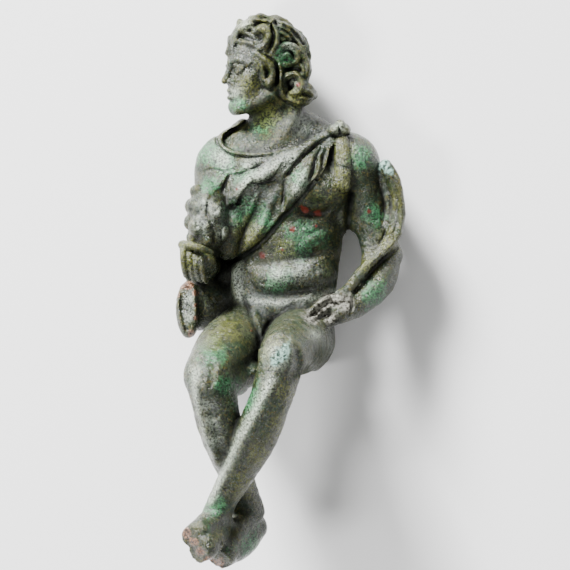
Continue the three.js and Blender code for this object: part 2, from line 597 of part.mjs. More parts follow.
// Feet, with the toes of both broken away.
function addFeet(body) {
  const leftFoot = [[-12.0, -41.2, 22.4, 2.3], [-13.6, -43.7, 25.8, 2.4], [-14.4, -45.0, 28.6, 2.2]];
  body.add(limb(leftFoot), 1.0);
  body.add(limb([[-13.4, -40.4, 24.8, 2.3], [-16.1, -42.4, 28.0, 1.9]]), 0.8);
  body.add(limb([[-6.5, -41.9, 15.0, 2.5], [-8.6, -44.6, 18.6, 2.6], [-11.7, -46.2, 22.2, 2.5]]), 1.0);
  body.add(limb([[-7.4, -40.2, 17.6, 2.3], [-10.4, -43.6, 21.6, 2.3]]), 0.8);
}

// The flats it rests on, and the seat, which sat on a support that is lost.
const REST_HEIGHT = 0;
const SEAT_LEVEL = -14.6;
const SKIN_POINTS = 4880;
const ORIGIN = at(0.03, -0.11, 0);

function block(kernel, low, high) {
  const shape = new THREE.BoxGeometry(high.x - low.x, high.y - low.y, high.z - low.z);
  shape.translate((low.x + high.x) / 2, (low.y + high.y) / 2, (low.z + high.z) / 2);
  return solid(kernel, shape);
}

function solid(kernel, geometry) {
  const bare = new THREE.BufferGeometry()
    .setAttribute('position', geometry.getAttribute('position'))
    .setIndex(geometry.index);
  const joined = mergeVertices(bare, 1e-5);
  return new kernel.Manifold(new kernel.Mesh({
    numProp: 3,
    vertProperties: new Float32Array(joined.getAttribute('position').array),
    triVerts: new Uint32Array(joined.index.array),
  }));
}

// Where the skin touches itself, its coinciding points are drawn apart, each a hair inwards.
const HAIR = 0.02;

function partTouching(geometry) {
  geometry.computeVertexNormals();
  const position = geometry.getAttribute('position');
  const normal = geometry.getAttribute('normal');
  const groups = new Map();
  for (let n = 0; n < position.count; n++) {
    const key = [position.getX(n), position.getY(n), position.getZ(n)].map((v) => v.toFixed(4)).join();
    groups.set(key, [...(groups.get(key) ?? []), n]);
  }
  for (const group of groups.values()) {
    if (group.length === 1) continue;
    for (const n of group) {
      const inwards = at(0, 0, 0).fromBufferAttribute(normal, n).multiplyScalar(-HAIR);
      const moved = at(0, 0, 0).fromBufferAttribute(position, n).add(inwards);
      position.setXYZ(n, moved.x, moved.y, moved.z);
    }
  }
  return geometry;
}

async function makeFaun() {
  const body = makeBody();
  addCloak(body);
  addHead(body);
  addRightHand(body);
  addHangingFold(body);
  addLeftHand(body);
  addStick(body);
  addFeet(body);

  const fine = skin(body);
  const surplus = fine.getAttribute('position').count - SKIN_POINTS;
  const coarse = await new SimplifyModifier().modify(fine, surplus);
  const kernel = await Module();
  kernel.setup();
  const under = block(kernel, at(-40, -60, -20), at(40, 60, REST_HEIGHT));
  const seat = block(kernel, at(-6, -20, -20), at(9, SEAT_LEVEL, 9));
  const cut = solid(kernel, coarse).subtract(under).subtract(seat);
  const mesh = cut.getMesh();
  const positions = [];
  for (let n = 0; n < mesh.numVert; n++) {
    positions.push(...mesh.vertProperties.slice(n * mesh.numProp, n * mesh.numProp + 3));
  }
  const closed = new THREE.BufferGeometry()
    .setAttribute('position', new THREE.Float32BufferAttribute(positions, 3))
    .setIndex([...mesh.triVerts]);
  return partTouching(closed).translate(-ORIGIN.x, -ORIGIN.y, -ORIGIN.z);
}

const bronze = new THREE.MeshStandardMaterial({ color: 0x3c4a36, metalness: 0.6, roughness: 0.55 });
const faun = new THREE.Mesh(await makeFaun(), bronze);
faun.name = 'faun';

const statuette = new THREE.Group();
statuette.add(faun);

export default statuette;
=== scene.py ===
import math

import bpy
import numpy as np
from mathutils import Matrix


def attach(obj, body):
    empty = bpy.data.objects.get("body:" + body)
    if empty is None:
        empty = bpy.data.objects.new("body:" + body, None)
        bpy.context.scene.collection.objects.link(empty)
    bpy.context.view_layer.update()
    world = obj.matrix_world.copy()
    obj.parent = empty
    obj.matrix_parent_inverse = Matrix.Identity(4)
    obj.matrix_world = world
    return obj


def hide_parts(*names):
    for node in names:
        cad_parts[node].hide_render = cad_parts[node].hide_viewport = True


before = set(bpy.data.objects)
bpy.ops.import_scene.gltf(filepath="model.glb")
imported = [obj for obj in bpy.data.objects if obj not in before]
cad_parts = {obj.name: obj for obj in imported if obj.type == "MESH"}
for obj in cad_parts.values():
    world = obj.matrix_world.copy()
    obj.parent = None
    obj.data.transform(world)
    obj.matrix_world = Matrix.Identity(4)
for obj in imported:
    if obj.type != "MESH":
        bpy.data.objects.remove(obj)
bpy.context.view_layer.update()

# The figure
# One solid bronze casting. Before it was cast it was modelled in wax, and it is modelled here in
# the same way: rounded forms are blended into a lump or cut out of it. Sizes are in millimetres,
# in axes of the figure lying on its back: X to its left, Y to its head, Z up out of its chest.

CELL = 0.22
CORNER_LOW = (-22.0, -50.0, -1.5)
CORNER_HIGH = (22.5, 50.0, 40.0)
FAR = 9.0
REACH = 2.6


def soft_min(a, b, blend):
    """The smaller of two distances, less (overlap squared) x blend / 4, where the overlap falls from
    1 where they are equal to 0 where they differ by the blend width."""
    if blend <= 0:
        return np.minimum(a, b)
    overlap = np.maximum(blend - np.abs(a - b), 0) / blend
    return np.minimum(a, b) - overlap * overlap * (blend / 4)


class Clay:
    """Distances to a surface on a grid of points, negative inside it."""

    def __init__(self):
        self.low = np.array(CORNER_LOW)
        self.count = np.ceil((np.array(CORNER_HIGH) - self.low) / CELL).astype(int) + 1
        self.value = np.full(self.count, FAR, np.float32)

    def window(self, low, high):
        first = np.clip(np.floor((low - self.low) / CELL).astype(int), 0, self.count - 1)
        last = np.clip(np.ceil((high - self.low) / CELL).astype(int) + 1, 1, self.count)
        return tuple(slice(a, b) for a, b in zip(first, last))

    def points(self, window):
        axes = [self.low[n] + CELL * np.arange(s.start, s.stop) for n, s in enumerate(window)]
        return np.meshgrid(*[axis.astype(np.float32) for axis in axes], indexing="ij", sparse=True)

    def distances(self, form, reach):
        """The least distance to any part of a form, worked out near each part alone."""
        low = np.min([part[0] for part in form], axis=0) - reach
        high = np.max([part[1] for part in form], axis=0) + reach
        window = self.window(low, high)
        nearest = np.full([s.stop - s.start for s in window], FAR, np.float32)
        for part_low, part_high, distance in form:
            near = self.window(part_low - reach, part_high + reach)
            inner = tuple(slice(n.start - w.start, n.stop - w.start) for n, w in zip(near, window))
            nearest[inner] = np.minimum(nearest[inner], distance(*self.points(near)))
        return window, nearest

    def add(self, form, blend=0.0, reach=REACH):
        window, nearest = self.distances(form, reach + blend)
        self.value[window] = soft_min(self.value[window], nearest, blend)

    def carve(self, form, blend=0.0, reach=REACH):
        window, nearest = self.distances(form, reach + blend)
        self.value[window] = -soft_min(-self.value[window], nearest, blend)

    def tops(self):
        """The height of the highest surface over every point of the plan, or beside the lump the
        height at which it comes nearest."""
        inside = self.value < 0
        highest = self.count[2] - 1 - np.argmax(inside[:, :, ::-1], axis=2)
        nearest = np.argmin(self.value, axis=2)
        return self.low[2] + CELL * np.where(inside.any(axis=2), highest, nearest)

    def emboss(self, ridges, depth=4.0):
        """Moves the surface seen from above out or in by the height of the ridges. The change dies
        away over a depth below the highest surface."""
        x, y, z = self.points(self.window(self.low, self.low + CELL * self.count))
        height = relief(ridges, x[:, 0, 0], y[0, :, 0])
        fade = np.clip((z - self.tops()[:, :, None] + depth) / (depth / 2), 0, 1)
        self.value -= height[:, :, None] * fade

    def surface(self, x, y, from_below=False):
        """The height of the top or the bottom of the lump over a point of the plan. Beside the lump
        it is the height at which the lump comes nearest."""
        i = int(round((x - self.low[0]) / CELL))
        j = int(round((y - self.low[1]) / CELL))
        column = self.value[i, j]
        solid = np.nonzero(column < 0)[0]
        if len(solid) == 0:
            return self.low[2] + CELL * int(np.argmin(column))
        k, step = (solid[0], -1) if from_below else (solid[-1], 1)
        share = column[k] / (column[k] - column[k + step])
        return self.low[2] + CELL * (k + step * share)


def tube(stations, flat=None, flat_share=1.0):
    """A tube through stations [x, y, z, radius]: the spheres about the points of each straight run.
    Along the direction flat it is squashed to flat_share."""
    form = []
    for a, b in zip(stations, stations[1:]):
        form.append(run(np.asarray(a, float), np.asarray(b, float), flat, flat_share))
    return form


def run(a, b, flat, flat_share):
    """One straight run of a tube, as its low corner, its high corner and its distance. Where the
    radius shrinks, the nearest sphere lies back along the run by the distance to its line, times
    the tangent of the angle whose sine is the shrinkage per length."""
    low = np.minimum(a[:3] - a[3], b[:3] - b[3])
    high = np.maximum(a[:3] + a[3], b[:3] + b[3])
    along = b[:3] - a[:3]
    length = max(float(np.sqrt(along @ along)), 1e-4)
    slope = np.clip((a[3] - b[3]) / length, -0.95, 0.95)
    lean = slope / math.sqrt(1 - slope ** 2) / length

    def distance(x, y, z):
        dx, dy, dz = x - a[0], y - a[1], z - a[2]
        t = (dx * along[0] + dy * along[1] + dz * along[2]) / length ** 2
        off_line = np.sqrt(np.maximum(dx * dx + dy * dy + dz * dz - (t * length) ** 2, 0))
        t = np.clip(t - lean * off_line, 0, 1)
        dx, dy, dz = dx - t * along[0], dy - t * along[1], dz - t * along[2]
        radius = a[3] + t * (b[3] - a[3])
        away = np.sqrt(dx * dx + dy * dy + dz * dz)
        if flat is None:
            return away - radius
        side = dx * flat[0] + dy * flat[1] + dz * flat[2]
        squashed = np.sqrt(away * away + side * side * (1 / flat_share ** 2 - 1)) + 1e-6
        return (squashed - radius) * away / squashed

    return low, high, distance


def curve(stations, steps=5):
    """A Catmull-Rom curve through stations of any width, with steps points to each stretch."""
    points = np.asarray(stations, float)
    ends = np.vstack([2 * points[0] - points[1], points, 2 * points[-1] - points[-2]])
    made = []
    for n in range(len(points) - 1):
        p0, p1, p2, p3 = ends[n:n + 4]
        t = np.linspace(0, 1, steps, endpoint=False)[:, None]
        cubic = (2 * p0 - 5 * p1 + 4 * p2 - p3) * t ** 2 + (3 * p1 - p0 - 3 * p2 + p3) * t ** 3
        made.append(p1 + 0.5 * ((p2 - p0) * t + cubic))
    return np.vstack(made + [points[-1:]])


def limb(stations, steps=5, flat=None, flat_share=1.0):
    return tube(curve(stations, steps), flat, flat_share)


def bulge(centre, radii, turn=None):
    """An ellipsoid. With k0 the length of the point divided by the radii, and k1 its length divided
    by their squares, the distance is k0 (k0 - 1) / k1. A turn sets it in axes of its own."""
    centre, radii = np.asarray(centre, float), np.asarray(radii, float)
    turn = np.eye(4) if turn is None else turn
    middle = turn[:3, :3] @ centre + turn[:3, 3]
    spread = np.sqrt(((turn[:3, :3] * radii) ** 2).sum(axis=1))

    def distance(x, y, z):
        dx, dy, dz = x - middle[0], y - middle[1], z - middle[2]
        own = [dx * turn[0, n] + dy * turn[1, n] + dz * turn[2, n] for n in range(3)]
        k0 = np.sqrt(sum((v / r) ** 2 for v, r in zip(own, radii)))
        k1 = np.sqrt(sum((v / r ** 2) ** 2 for v, r in zip(own, radii))) + 1e-6
        return np.where(k0 < 0.05, -radii.min(), k0 * (k0 - 1) / k1)

    return [(middle - spread, middle + spread, distance)]


def laid_on(clay, line, lift=0.0, from_below=False):
    """The stations of a line of the plan [x, y, radius], laid on a lump and lifted off it."""
    sign = -1 if from_below else 1
    return [[x, y, clay.surface(x, y, from_below) + sign * lift, r] for x, y, r in line]


FULL, SOFT, KEEN = 0.6, 2.0, 0.35


def relief(ridges, x, y):
    """Ridges drawn on the plan. A ridge is its line of [x, y, height, width to the left, width to the
    right] with a power for each side: away from the line the height falls as (1 - (distance /
    width) squared) to that power, so FULL and KEEN sides stand steep and a SOFT side runs out. A
    negative height cuts a groove. Strands furrow the ridge along its length."""
    raised = np.zeros((len(x), len(y)), np.float32)
    cut = np.zeros_like(raised)
    for line, left_power, right_power, strands in ridges:
        stations = curve(line)
        reach = stations[:, 3:5].max()
        low, high = stations[:, :2].min(axis=0) - reach, stations[:, :2].max(axis=0) + reach
        i = slice(*np.searchsorted(x, (low[0], high[0])))
        j = slice(*np.searchsorted(y, (low[1], high[1])))
        px, py = x[i, None], y[None, j]
        best = np.full(np.broadcast(px, py).shape, np.inf)
        height = np.zeros_like(best)
        across = np.zeros_like(best)
        for a, b in zip(stations, stations[1:]):
            ux, uy = b[0] - a[0], b[1] - a[1]
            t = np.clip(((px - a[0]) * ux + (py - a[1]) * uy) / (ux * ux + uy * uy + 1e-9), 0, 1)
            dx, dy = px - a[0] - t * ux, py - a[1] - t * uy
            away = np.hypot(dx, dy)
            left = ux * dy - uy * dx > 0
            h, left_width, right_width = [a[n] + t * (b[n] - a[n]) for n in (2, 3, 4)]
            share = away / np.maximum(np.where(left, left_width, right_width), 1e-3)
            nearer = away < best
            best = np.where(nearer, away, best)
            height = np.where(nearer, h, height)
            across = np.where(nearer, np.where(left, share, -share), across)
        fall = np.maximum(1 - across ** 2, 0) ** np.where(across > 0, left_power, right_power)
        made = height * fall
        if strands:
            made = made + 0.13 * np.cos(math.pi * strands * across) * fall
        if np.mean([station[2] for station in line]) > 0:
            raised[i, j] = np.maximum(raised[i, j], made)
        else:
            cut[i, j] = np.minimum(cut[i, j], made)
    return raised + cut


def roll(line, left=FULL, right=FULL, strands=0):
    return line, left, right, strands


# The trunk, as ellipses from the seat to the neck: [y, middle x, half width, middle z, half depth].
TRUNK = np.array([
    [-11, -2.2, 7.6, 6.4, 5.4], [-7, -1.4, 8.9, 6.6, 6.2], [-2, -0.9, 8.9, 6.9, 6.1],
    [3, -0.8, 9.3, 6.9, 5.7], [8, -0.9, 10.1, 6.8, 5.9], [12, -1.4, 11.0, 6.8, 6.3],
    [16.5, -1.8, 11.8, 7.0, 6.5], [20.5, -1.8, 12.0, 7.2, 5.8], [24, -1.9, 9.6, 7.4, 4.9],
    [27, -2.2, 6.0, 7.6, 4.4],
])


def trunk():
    """At each height the ellipse is eased between the two nearest in the table, and the distance is
    that of an ellipse, rounded off by 3 mm at the two ends."""
    bottom, top = TRUNK[0, 0], TRUNK[-1, 0]

    def distance(x, y, z):
        level = np.clip(y, bottom, top)
        n = np.clip(np.searchsorted(TRUNK[:, 0], level) - 1, 0, len(TRUNK) - 2)
        t = (level - TRUNK[n, 0]) / (TRUNK[n + 1, 0] - TRUNK[n, 0])
        eased = t * t * (3 - 2 * t) * 0.5 + t * 0.5
        cx, rx, cz, rz = [
            (TRUNK[n, m] + eased * (TRUNK[n + 1, m] - TRUNK[n, m])).astype(np.float32)
            for m in range(1, 5)
        ]
        dx, dz = x - cx, z - cz
        k0 = np.sqrt((dx / rx) ** 2 + (dz / rz) ** 2)
        k1 = np.sqrt((dx / rx ** 2) ** 2 + (dz / rz ** 2) ** 2) + 1e-6
        around = np.where(k0 < 0.1, -np.minimum(rx, rz), k0 * (k0 - 1) / k1)
        return -soft_min(-around, -np.maximum(y - top, bottom - y), 3)

    return [(np.array([-16, bottom, -1]), np.array([13, top, 15]), distance)]


faun = Clay()
faun.add(trunk())

# Buttocks, and the thighs that come forward off the lost seat to the knees.
faun.add(bulge([-6.6, -8.4, 5.3], [5.9, 6.0, 5.8]), 1.5)
faun.add(bulge([2.2, -9.2, 5.3], [5.5, 5.9, 5.8]), 1.5)
faun.add(limb([[-7.2, -8.2, 8, 5.9], [-10.9, -11.2, 19, 5.7], [-14.1, -15.2, 30, 4.4]], 24), 1.5)
faun.add(limb([[2.0, -9.0, 8, 5.7], [0.9, -9.8, 20, 5.5], [-1.2, -11.4, 32, 4.2]], 24), 1.5)

# Shins, with the calf behind and the knee cap in front.
faun.add(limb([[-13.7, -16.6, 30.4, 4.2], [-12.2, -24, 28.4, 3.8], [-10.4, -30, 24.5, 3.1],
               [-8.5, -34.5, 20.4, 2.6], [-6.7, -39.2, 17, 2.3]], 12), 0.8)
faun.add(limb([[-1.2, -12.0, 32.6, 4.0], [-3.5, -19.6, 32.4, 3.7], [-6.1, -26, 30.4, 3.8],
               [-8.8, -31.5, 27.6, 3.1], [-11.0, -35.6, 25.4, 2.6], [-12.6, -38.9, 23.6, 2.5]], 12), 0.8)
faun.add(bulge([-14.0, -16.2, 34.0], [2.2, 2.7, 1.4]), 1.2)
faun.add(bulge([-9.6, -16.4, 25.0], [2.6, 2.4, 5.0]), 1.5)
faun.add(bulge([-7.0, -15.0, 22.0], [2.8, 2.2, 4.5]), 1.0)
faun.add(bulge([-1.2, -11.6, 35.8], [2.2, 2.7, 1.4]), 1.2)

# Shoulders and arms.
faun.add(bulge([-10.9, 21.2, 7.6], [4.8, 5.0, 4.8]), 2.5)
faun.add(bulge([10.8, 22.0, 7.4], [4.7, 5.1, 4.7]), 2.5)
faun.add(limb([[-3, 27.8, 6.8, 3.0], [-7.0, 25.9, 7, 3.2], [-10.2, 22.7, 7, 3.0]]), 2)
faun.add(limb([[-0.6, 29.2, 6.8, 3.3], [4.2, 27.0, 7, 3.3], [9, 24.5, 7, 2.9]]), 2)
faun.add(limb([[-11.3, 20.4, 7.4, 4.1], [-13.4, 12.5, 6.4, 3.4], [-14.6, 5, 5.6, 3.1]], 12), 1.5)
faun.add(limb([[-14.8, 4.6, 5.6, 3.0], [-15.2, 4.2, 10.5, 2.8], [-15.2, 4.2, 16.5, 2.2]], 12), 0.8)
faun.add(limb([[11.2, 21.6, 7.2, 4.3], [12.9, 15.6, 6.9, 3.6], [14.8, 10.4, 6.5, 3.0],
               [16.9, 5.8, 6.4, 2.7]], 12), 1.5)
faun.add(bulge([10.0, 14.4, 6.6], [2.4, 4.6, 3.8]), 1.5)
faun.add(limb([[13.6, 10.5, 7.0, 2.0], [14.5, 6.5, 7.6, 1.9], [14.2, 3.4, 9.0, 1.8]], 12), 0.8)
faun.add(limb([[16.9, 5.8, 6.6, 2.8], [15.6, 1.2, 8.8, 2.9], [12.2, -2.5, 12, 2.3],
               [8.8, -4.3, 14.8, 1.9]], 12), 0.8)

# Neck, and the muscle that runs from behind the ear to the pit of the throat.
faun.add(limb([[-2.2, 24, 7.4, 5.4], [-2.5, 29, 7.6, 4.3], [-3.0, 35, 8.2, 4.4]], 12), 2.5)
faun.add(limb([[1.6, 33.5, 10.2, 1.2], [0.2, 29.5, 11.2, 1.1], [-2.4, 25.4, 12.2, 0.9]]), 1.2)

# Breast, ribs and the folds of a seated belly.
faun.add(bulge([4.8, 17.4, 11.2], [5.4, 4.2, 2.9]), 1.5)
faun.add(bulge([-8.0, 17.4, 11.2], [5.4, 4.2, 2.9]), 1.5)
faun.add(bulge([-0.8, 9.8, 9.4], [8.8, 4.4, 3.7]), 1.2)
faun.add(bulge([-0.6, 2.2, 9.6], [8.4, 4.5, 4.0]), 1.0)
faun.add(bulge([-1.6, -5.0, 8.8], [6.6, 3.4, 4.2]), 1.0)
faun.add(limb([[-7.4, 4.8, 8.0, 2.6], [-7.6, 0.8, 8.3, 2.8], [-7.0, -3.5, 8.4, 2.6]], 12), 1.0)

# The finer modelling of the front: [x, y, height, width to the left, width to the right] on the
# plan, with the creases of the belly and groin as negative heights.
CREASE = dict(left=SOFT, right=SOFT)
BODY_RELIEF = [
    roll([[-6.8, 3.2, -0.2, 1.0, 1.0], [-4.9, 3.9, -0.6, 1.7, 1.5], [-1.2, 4.5, -0.6, 1.7, 1.5],
          [2.6, 5.3, -0.7, 1.7, 1.5], [7.4, 7.4, -0.3, 1.2, 1.2]], **CREASE),
    roll([[-7, 0, -0.2, 1.0, 1.0], [-4.9, -1.1, -0.6, 1.4, 1.6], [-1.8, -1.1, -0.7, 1.5, 1.7],
          [1.8, -0.5, -0.7, 1.5, 1.7], [7.4, 1.2, -0.3, 1.0, 1.0]], **CREASE),
    roll([[-6.5, 3.5, -0.3, 0.6, 0.8], [-6.8, 1.4, -0.5, 0.9, 1.4], [-6, -0.9, -0.3, 0.6, 0.8]],
         **CREASE),
    roll([[-8.1, -1.8, -0.4, 0.8, 0.6], [-6.7, -5.3, -0.6, 1.0, 0.7], [-5.1, -10, -0.4, 0.9, 0.7]],
         **CREASE),
    roll([[1.8, -2.3, -0.1, 0.8, 1.0], [-1.2, -4.6, -0.35, 1.0, 1.2], [-3.9, -7, -0.4, 0.9, 1.0],
          [-4.9, -9.8, -0.2, 0.8, 0.8]], **CREASE),
    roll([[10.9, 16.5, -0.5, 0.9, 0.8], [10.3, 13.3, -1.2, 1.2, 1.0], [10.2, 10.3, -0.6, 0.9, 0.8]],
         SOFT, SOFT),
    roll([[0.2, 14.5, -0.2, 0.8, 0.8], [2.5, 13.3, -0.5, 1.2, 0.9], [5.3, 13.1, -0.5, 1.2, 0.9],
          [7.9, 14.7, -0.2, 0.8, 0.8]], **CREASE),
    roll([[1.8, 9.8, 0.0, 0.8, 0.8], [4.4, 10.9, 0.25, 0.9, 0.9], [6.8, 12.6, 0.0, 0.8, 0.8]],
         **CREASE),
    roll([[1.2, 7.7, 0.0, 0.8, 0.8], [4.2, 8.6, 0.25, 0.9, 0.9], [7, 10.2, 0.0, 0.8, 0.8]],
         **CREASE),
    roll([[-3.9, 1.2, 0.0, 2.0, 2.0], [-1.9, 2.1, 0.5, 2.4, 2.4], [1.8, 2.6, 0.2, 2.2, 2.2],
          [4.9, 3.5, 0.0, 1.8, 1.8]], **CREASE),
]
faun.emboss(BODY_RELIEF)

# The sharp fronts of the shins, and the hollows beside the knees.
LEG_RELIEF = [
    roll([[-2.3, -14, 0.2, 1.6, 1.0], [-4.6, -18.7, 0.6, 2.2, 1.0], [-7.7, -25.1, 0.7, 2.2, 1.0],
          [-10.9, -31.5, 0.6, 2.0, 0.9], [-13.8, -37.7, 0.3, 1.4, 0.8]], SOFT, SOFT),
    roll([[-16.6, -16.8, 0.2, 1.6, 0.8], [-15.8, -21, 0.6, 2.0, 0.8], [-14.4, -25.9, 0.6, 1.8, 0.8],
          [-12.8, -30.8, 0.4, 1.2, 0.7]], SOFT, SOFT),
    roll([[-13.7, -18.2, -0.1, 1.0, 1.0], [-13, -23.1, -0.35, 1.2, 1.2], [-11.9, -28.4, -0.2, 1.0, 1.0]],
         **CREASE),
    roll([[-0.5, -8.8, -0.1, 0.8, 1.0], [1.1, -10.9, -0.35, 1.0, 1.2], [1.1, -14, -0.3, 1.0, 1.2],
          [-0.4, -16.1, -0.1, 0.8, 1.0]], **CREASE),
    roll([[-14.7, -11.2, -0.1, 0.8, 1.0], [-13.3, -13.7, -0.3, 1.0, 1.2], [-13.7, -16.8, -0.2, 0.8, 1.0]],
         **CREASE),
]
faun.emboss(LEG_RELIEF)

# The cloak
# An animal skin, thin and supple, knotted on the left shoulder and drawn under the right arm.
# In the wax it was a sheet laid over the finished body, then creased and undercut.

CLOAK_THICKNESS = 0.9
SIDE_HEIGHT = 6.5
HEM_FRONT = [
    [8.8, 28.6], [4.9, 27.2], [1.8, 25.1], [-3.5, 23.8], [-6.3, 23.7], [-8.2, 23.8],
    [-10, 24.2], [-11.4, 25], [-11.9, 25.9], [-11.7, 27], [-10.7, 27.9], [-9.1, 28.6],
    [-7.7, 29.6], [-14, 31], [-22, 26], [-22, 15.5], [-16.8, 18.2], [-15.2, 17.5], [-14.5, 16.3],
    [-13.5, 15.5], [-12.3, 16.1], [-11.6, 16.8], [-11.5, 15.2], [-10.7, 14.3], [-9.8, 14.9],
    [-9.5, 14.2], [-10.2, 12.4], [-10.4, 9.1], [-11.2, 5.3], [-10.3, 5], [-8.9, 5.8],
    [-7.2, 6.7], [-5.4, 8.1], [-3.7, 10], [-2.5, 11.6], [-1.3, 13.1], [0.2, 14.2],
    [2.1, 16.5], [3.3, 18.2], [4.2, 19.1], [5.4, 19.6], [6.3, 21.4], [7, 24.2],
    [8.8, 27],
]
HEM_BACK = [
    [9.5, 28.6], [2, 29.5], [-6, 29.5], [-14, 31], [-22, 26], [-22, -5], [-13, -6],
    [-6, -2], [2, 5], [8, 14], [12, 24],
]

# Folds on the front run down from the knot. Those on the back are broad and shallow.
FRONT_FOLDS = [
    roll([[7, 27.3, 0.3, 0.5, 0.5], [4.9, 26.1, 0.6, 0.5, 0.8], [2.6, 24.4, 0.8, 0.6, 1.1],
          [0.7, 22.6, 0.7, 0.7, 1.3], [-0.9, 20.8, 0.5, 0.7, 1.3], [-1.9, 19.3, 0.2, 0.7, 1.2]],
         KEEN, SOFT),
    roll([[1.1, 23.5, 0.3, 0.8, 1.1], [-1.1, 22.1, 0.9, 0.8, 1.7], [-3.2, 20.5, 1.2, 0.9, 1.9],
          [-5.3, 19.4, 1.3, 1.0, 1.9], [-7, 18.9, 1.3, 0.8, 1.8], [-8.6, 17.3, 1.2, 0.9, 1.7],
          [-9.8, 15.8, 1.0, 0.9, 1.4], [-10.7, 14.5, 0.5, 0.8, 0.9]], KEEN, 1.2),
    roll([[5.1, 24.9, 0.2, 0.5, 0.8], [3.7, 22.4, 0.8, 0.7, 1.6], [2.5, 20, 1.1, 1.0, 2.0],
          [1.2, 17.5, 1.1, 1.1, 1.8], [0, 15.4, 0.9, 0.9, 1.2], [-1.1, 13.7, 0.4, 0.7, 0.7]],
         FULL, 1.2),
    roll([[5.8, 24.5, 0.2, 0.4, 0.3], [5.1, 22.8, 0.6, 0.4, 0.3], [5, 21, 0.7, 0.4, 0.3],
          [4.4, 19.4, 0.4, 0.4, 0.3]], FULL, FULL),
    roll([[6.8, 23.8, 0.2, 0.3, 0.3], [6.5, 21.9, 0.5, 0.3, 0.4], [5.8, 20.1, 0.4, 0.3, 0.4]],
         FULL, FULL),
    roll([[-1.9, 18.2, 0.1, 0.8, 1.2], [-3.2, 14.7, 0.4, 1.0, 1.6], [-4.9, 10.9, 0.6, 1.2, 1.8],
          [-7.4, 7.7, 0.6, 1.2, 1.8], [-9.8, 5.6, 0.4, 0.7, 1.4]], SOFT, SOFT),
    roll([[-4.9, 17.9, 0.1, 0.8, 0.8], [-6.5, 14.7, 0.35, 0.9, 0.9], [-8.2, 11.2, 0.35, 0.9, 0.9],
          [-9.5, 7.7, 0.1, 0.7, 0.8]], SOFT, SOFT),
    roll([[-8.1, 22.4, 0.1, 0.5, 0.6], [-6.7, 22.1, 0.3, 0.5, 0.8], [-4.9, 22.4, 0.2, 0.4, 0.6]],
         SOFT, SOFT),
    roll([[-11.6, 19.6, 0.1, 0.9, 0.9], [-12.8, 17.9, 0.5, 1.0, 1.0], [-13.5, 16.1, 0.4, 0.7, 0.7]],
         SOFT, SOFT),
    roll([[-14.9, 20, 0.1, 0.9, 0.9], [-15.4, 18.7, 0.3, 0.8, 0.8], [-15.9, 17.5, 0.2, 0.5, 0.5]],
         SOFT, SOFT),
    roll([[-7.4, 29.3, 0.0, 0.5, 0.4], [-10.2, 28.1, 0.3, 0.5, 0.4], [-11.9, 27, 0.35, 0.5, 0.4],
          [-12.3, 25.9, 0.35, 0.5, 0.4], [-11.5, 24.6, 0.35, 0.5, 0.4], [-9.8, 23.8, 0.35, 0.5, 0.4],
          [-6.5, 23.4, 0.3, 0.5, 0.4], [-3.5, 23.7, 0.2, 0.5, 0.4]], FULL, FULL),
    roll([[-10.5, 28.7, -0.2, 0.3, 0.3], [-12.5, 27.3, -0.4, 0.3, 0.3], [-12.9, 25.8, -0.45, 0.3, 0.3],
          [-11.9, 24.3, -0.45, 0.3, 0.3], [-10, 23.3, -0.4, 0.3, 0.3], [-7.4, 23, -0.35, 0.3, 0.3],
          [-4.2, 23.1, -0.2, 0.3, 0.3]], SOFT, SOFT),
    roll([[-4.2, 21.7, -0.1, 0.3, 0.3], [-6.3, 21, -0.4, 0.35, 0.35], [-8.2, 20.1, -0.45, 0.35, 0.35],
          [-10.2, 19.8, -0.2, 0.3, 0.3]], FULL, FULL),
    roll([[-10.3, 20.3, -0.2, 0.3, 0.3], [-11.2, 18.4, -0.6, 0.35, 0.4], [-12.1, 16.6, -0.5, 0.35, 0.4]],
         FULL, FULL),
    roll([[-15.8, 20.3, -0.1, 0.3, 0.3], [-13.7, 20.8, -0.3, 0.3, 0.3], [-11.2, 20.5, -0.25, 0.3, 0.3],
          [-9.5, 21, -0.1, 0.3, 0.3]], SOFT, SOFT),
    roll([[-0.9, 18.6, -0.2, 0.3, 0.3], [-1.1, 16.1, -0.5, 0.35, 0.35], [-1.4, 13.8, -0.3, 0.3, 0.3]],
         FULL, FULL),
    roll([[-5.8, 14.2, -0.1, 0.3, 0.3], [-7, 11.9, -0.35, 0.4, 0.4], [-8.2, 9.8, -0.15, 0.3, 0.3]],
         SOFT, SOFT),
]
BACK_FOLDS = [
    roll([[7.5, 20, -0.2, 1.2, 1.2], [0, 10, -0.6, 1.6, 1.6], [-9, 0, -0.2, 1.2, 1.2]], SOFT, SOFT),
    roll([[5.0, 23, -0.2, 1.2, 1.2], [-3, 13, -0.6, 1.7, 1.7], [-11, 5, -0.2, 1.2, 1.2]], SOFT, SOFT),
    roll([[1.5, 25, -0.2, 1.0, 1.0], [-5, 18, -0.6, 1.6, 1.6], [-12, 11, -0.2, 1.2, 1.2]], SOFT, SOFT),
    roll([[-3, 26, -0.1, 0.8, 0.8], [-9, 21, -0.5, 1.4, 1.4], [-14, 16, -0.2, 1.0, 1.0]], SOFT, SOFT),
    roll([[6, 17, 0.1, 1.0, 1.0], [-4, 6, 0.4, 1.3, 1.3], [-13, -2, 0.2, 1.0, 1.0]], SOFT, SOFT),
    roll([[2, 21, 0.1, 1.0, 1.0], [-6, 12, 0.4, 1.3, 1.3], [-14, 6, 0.2, 1.0, 1.0]], SOFT, SOFT),
]


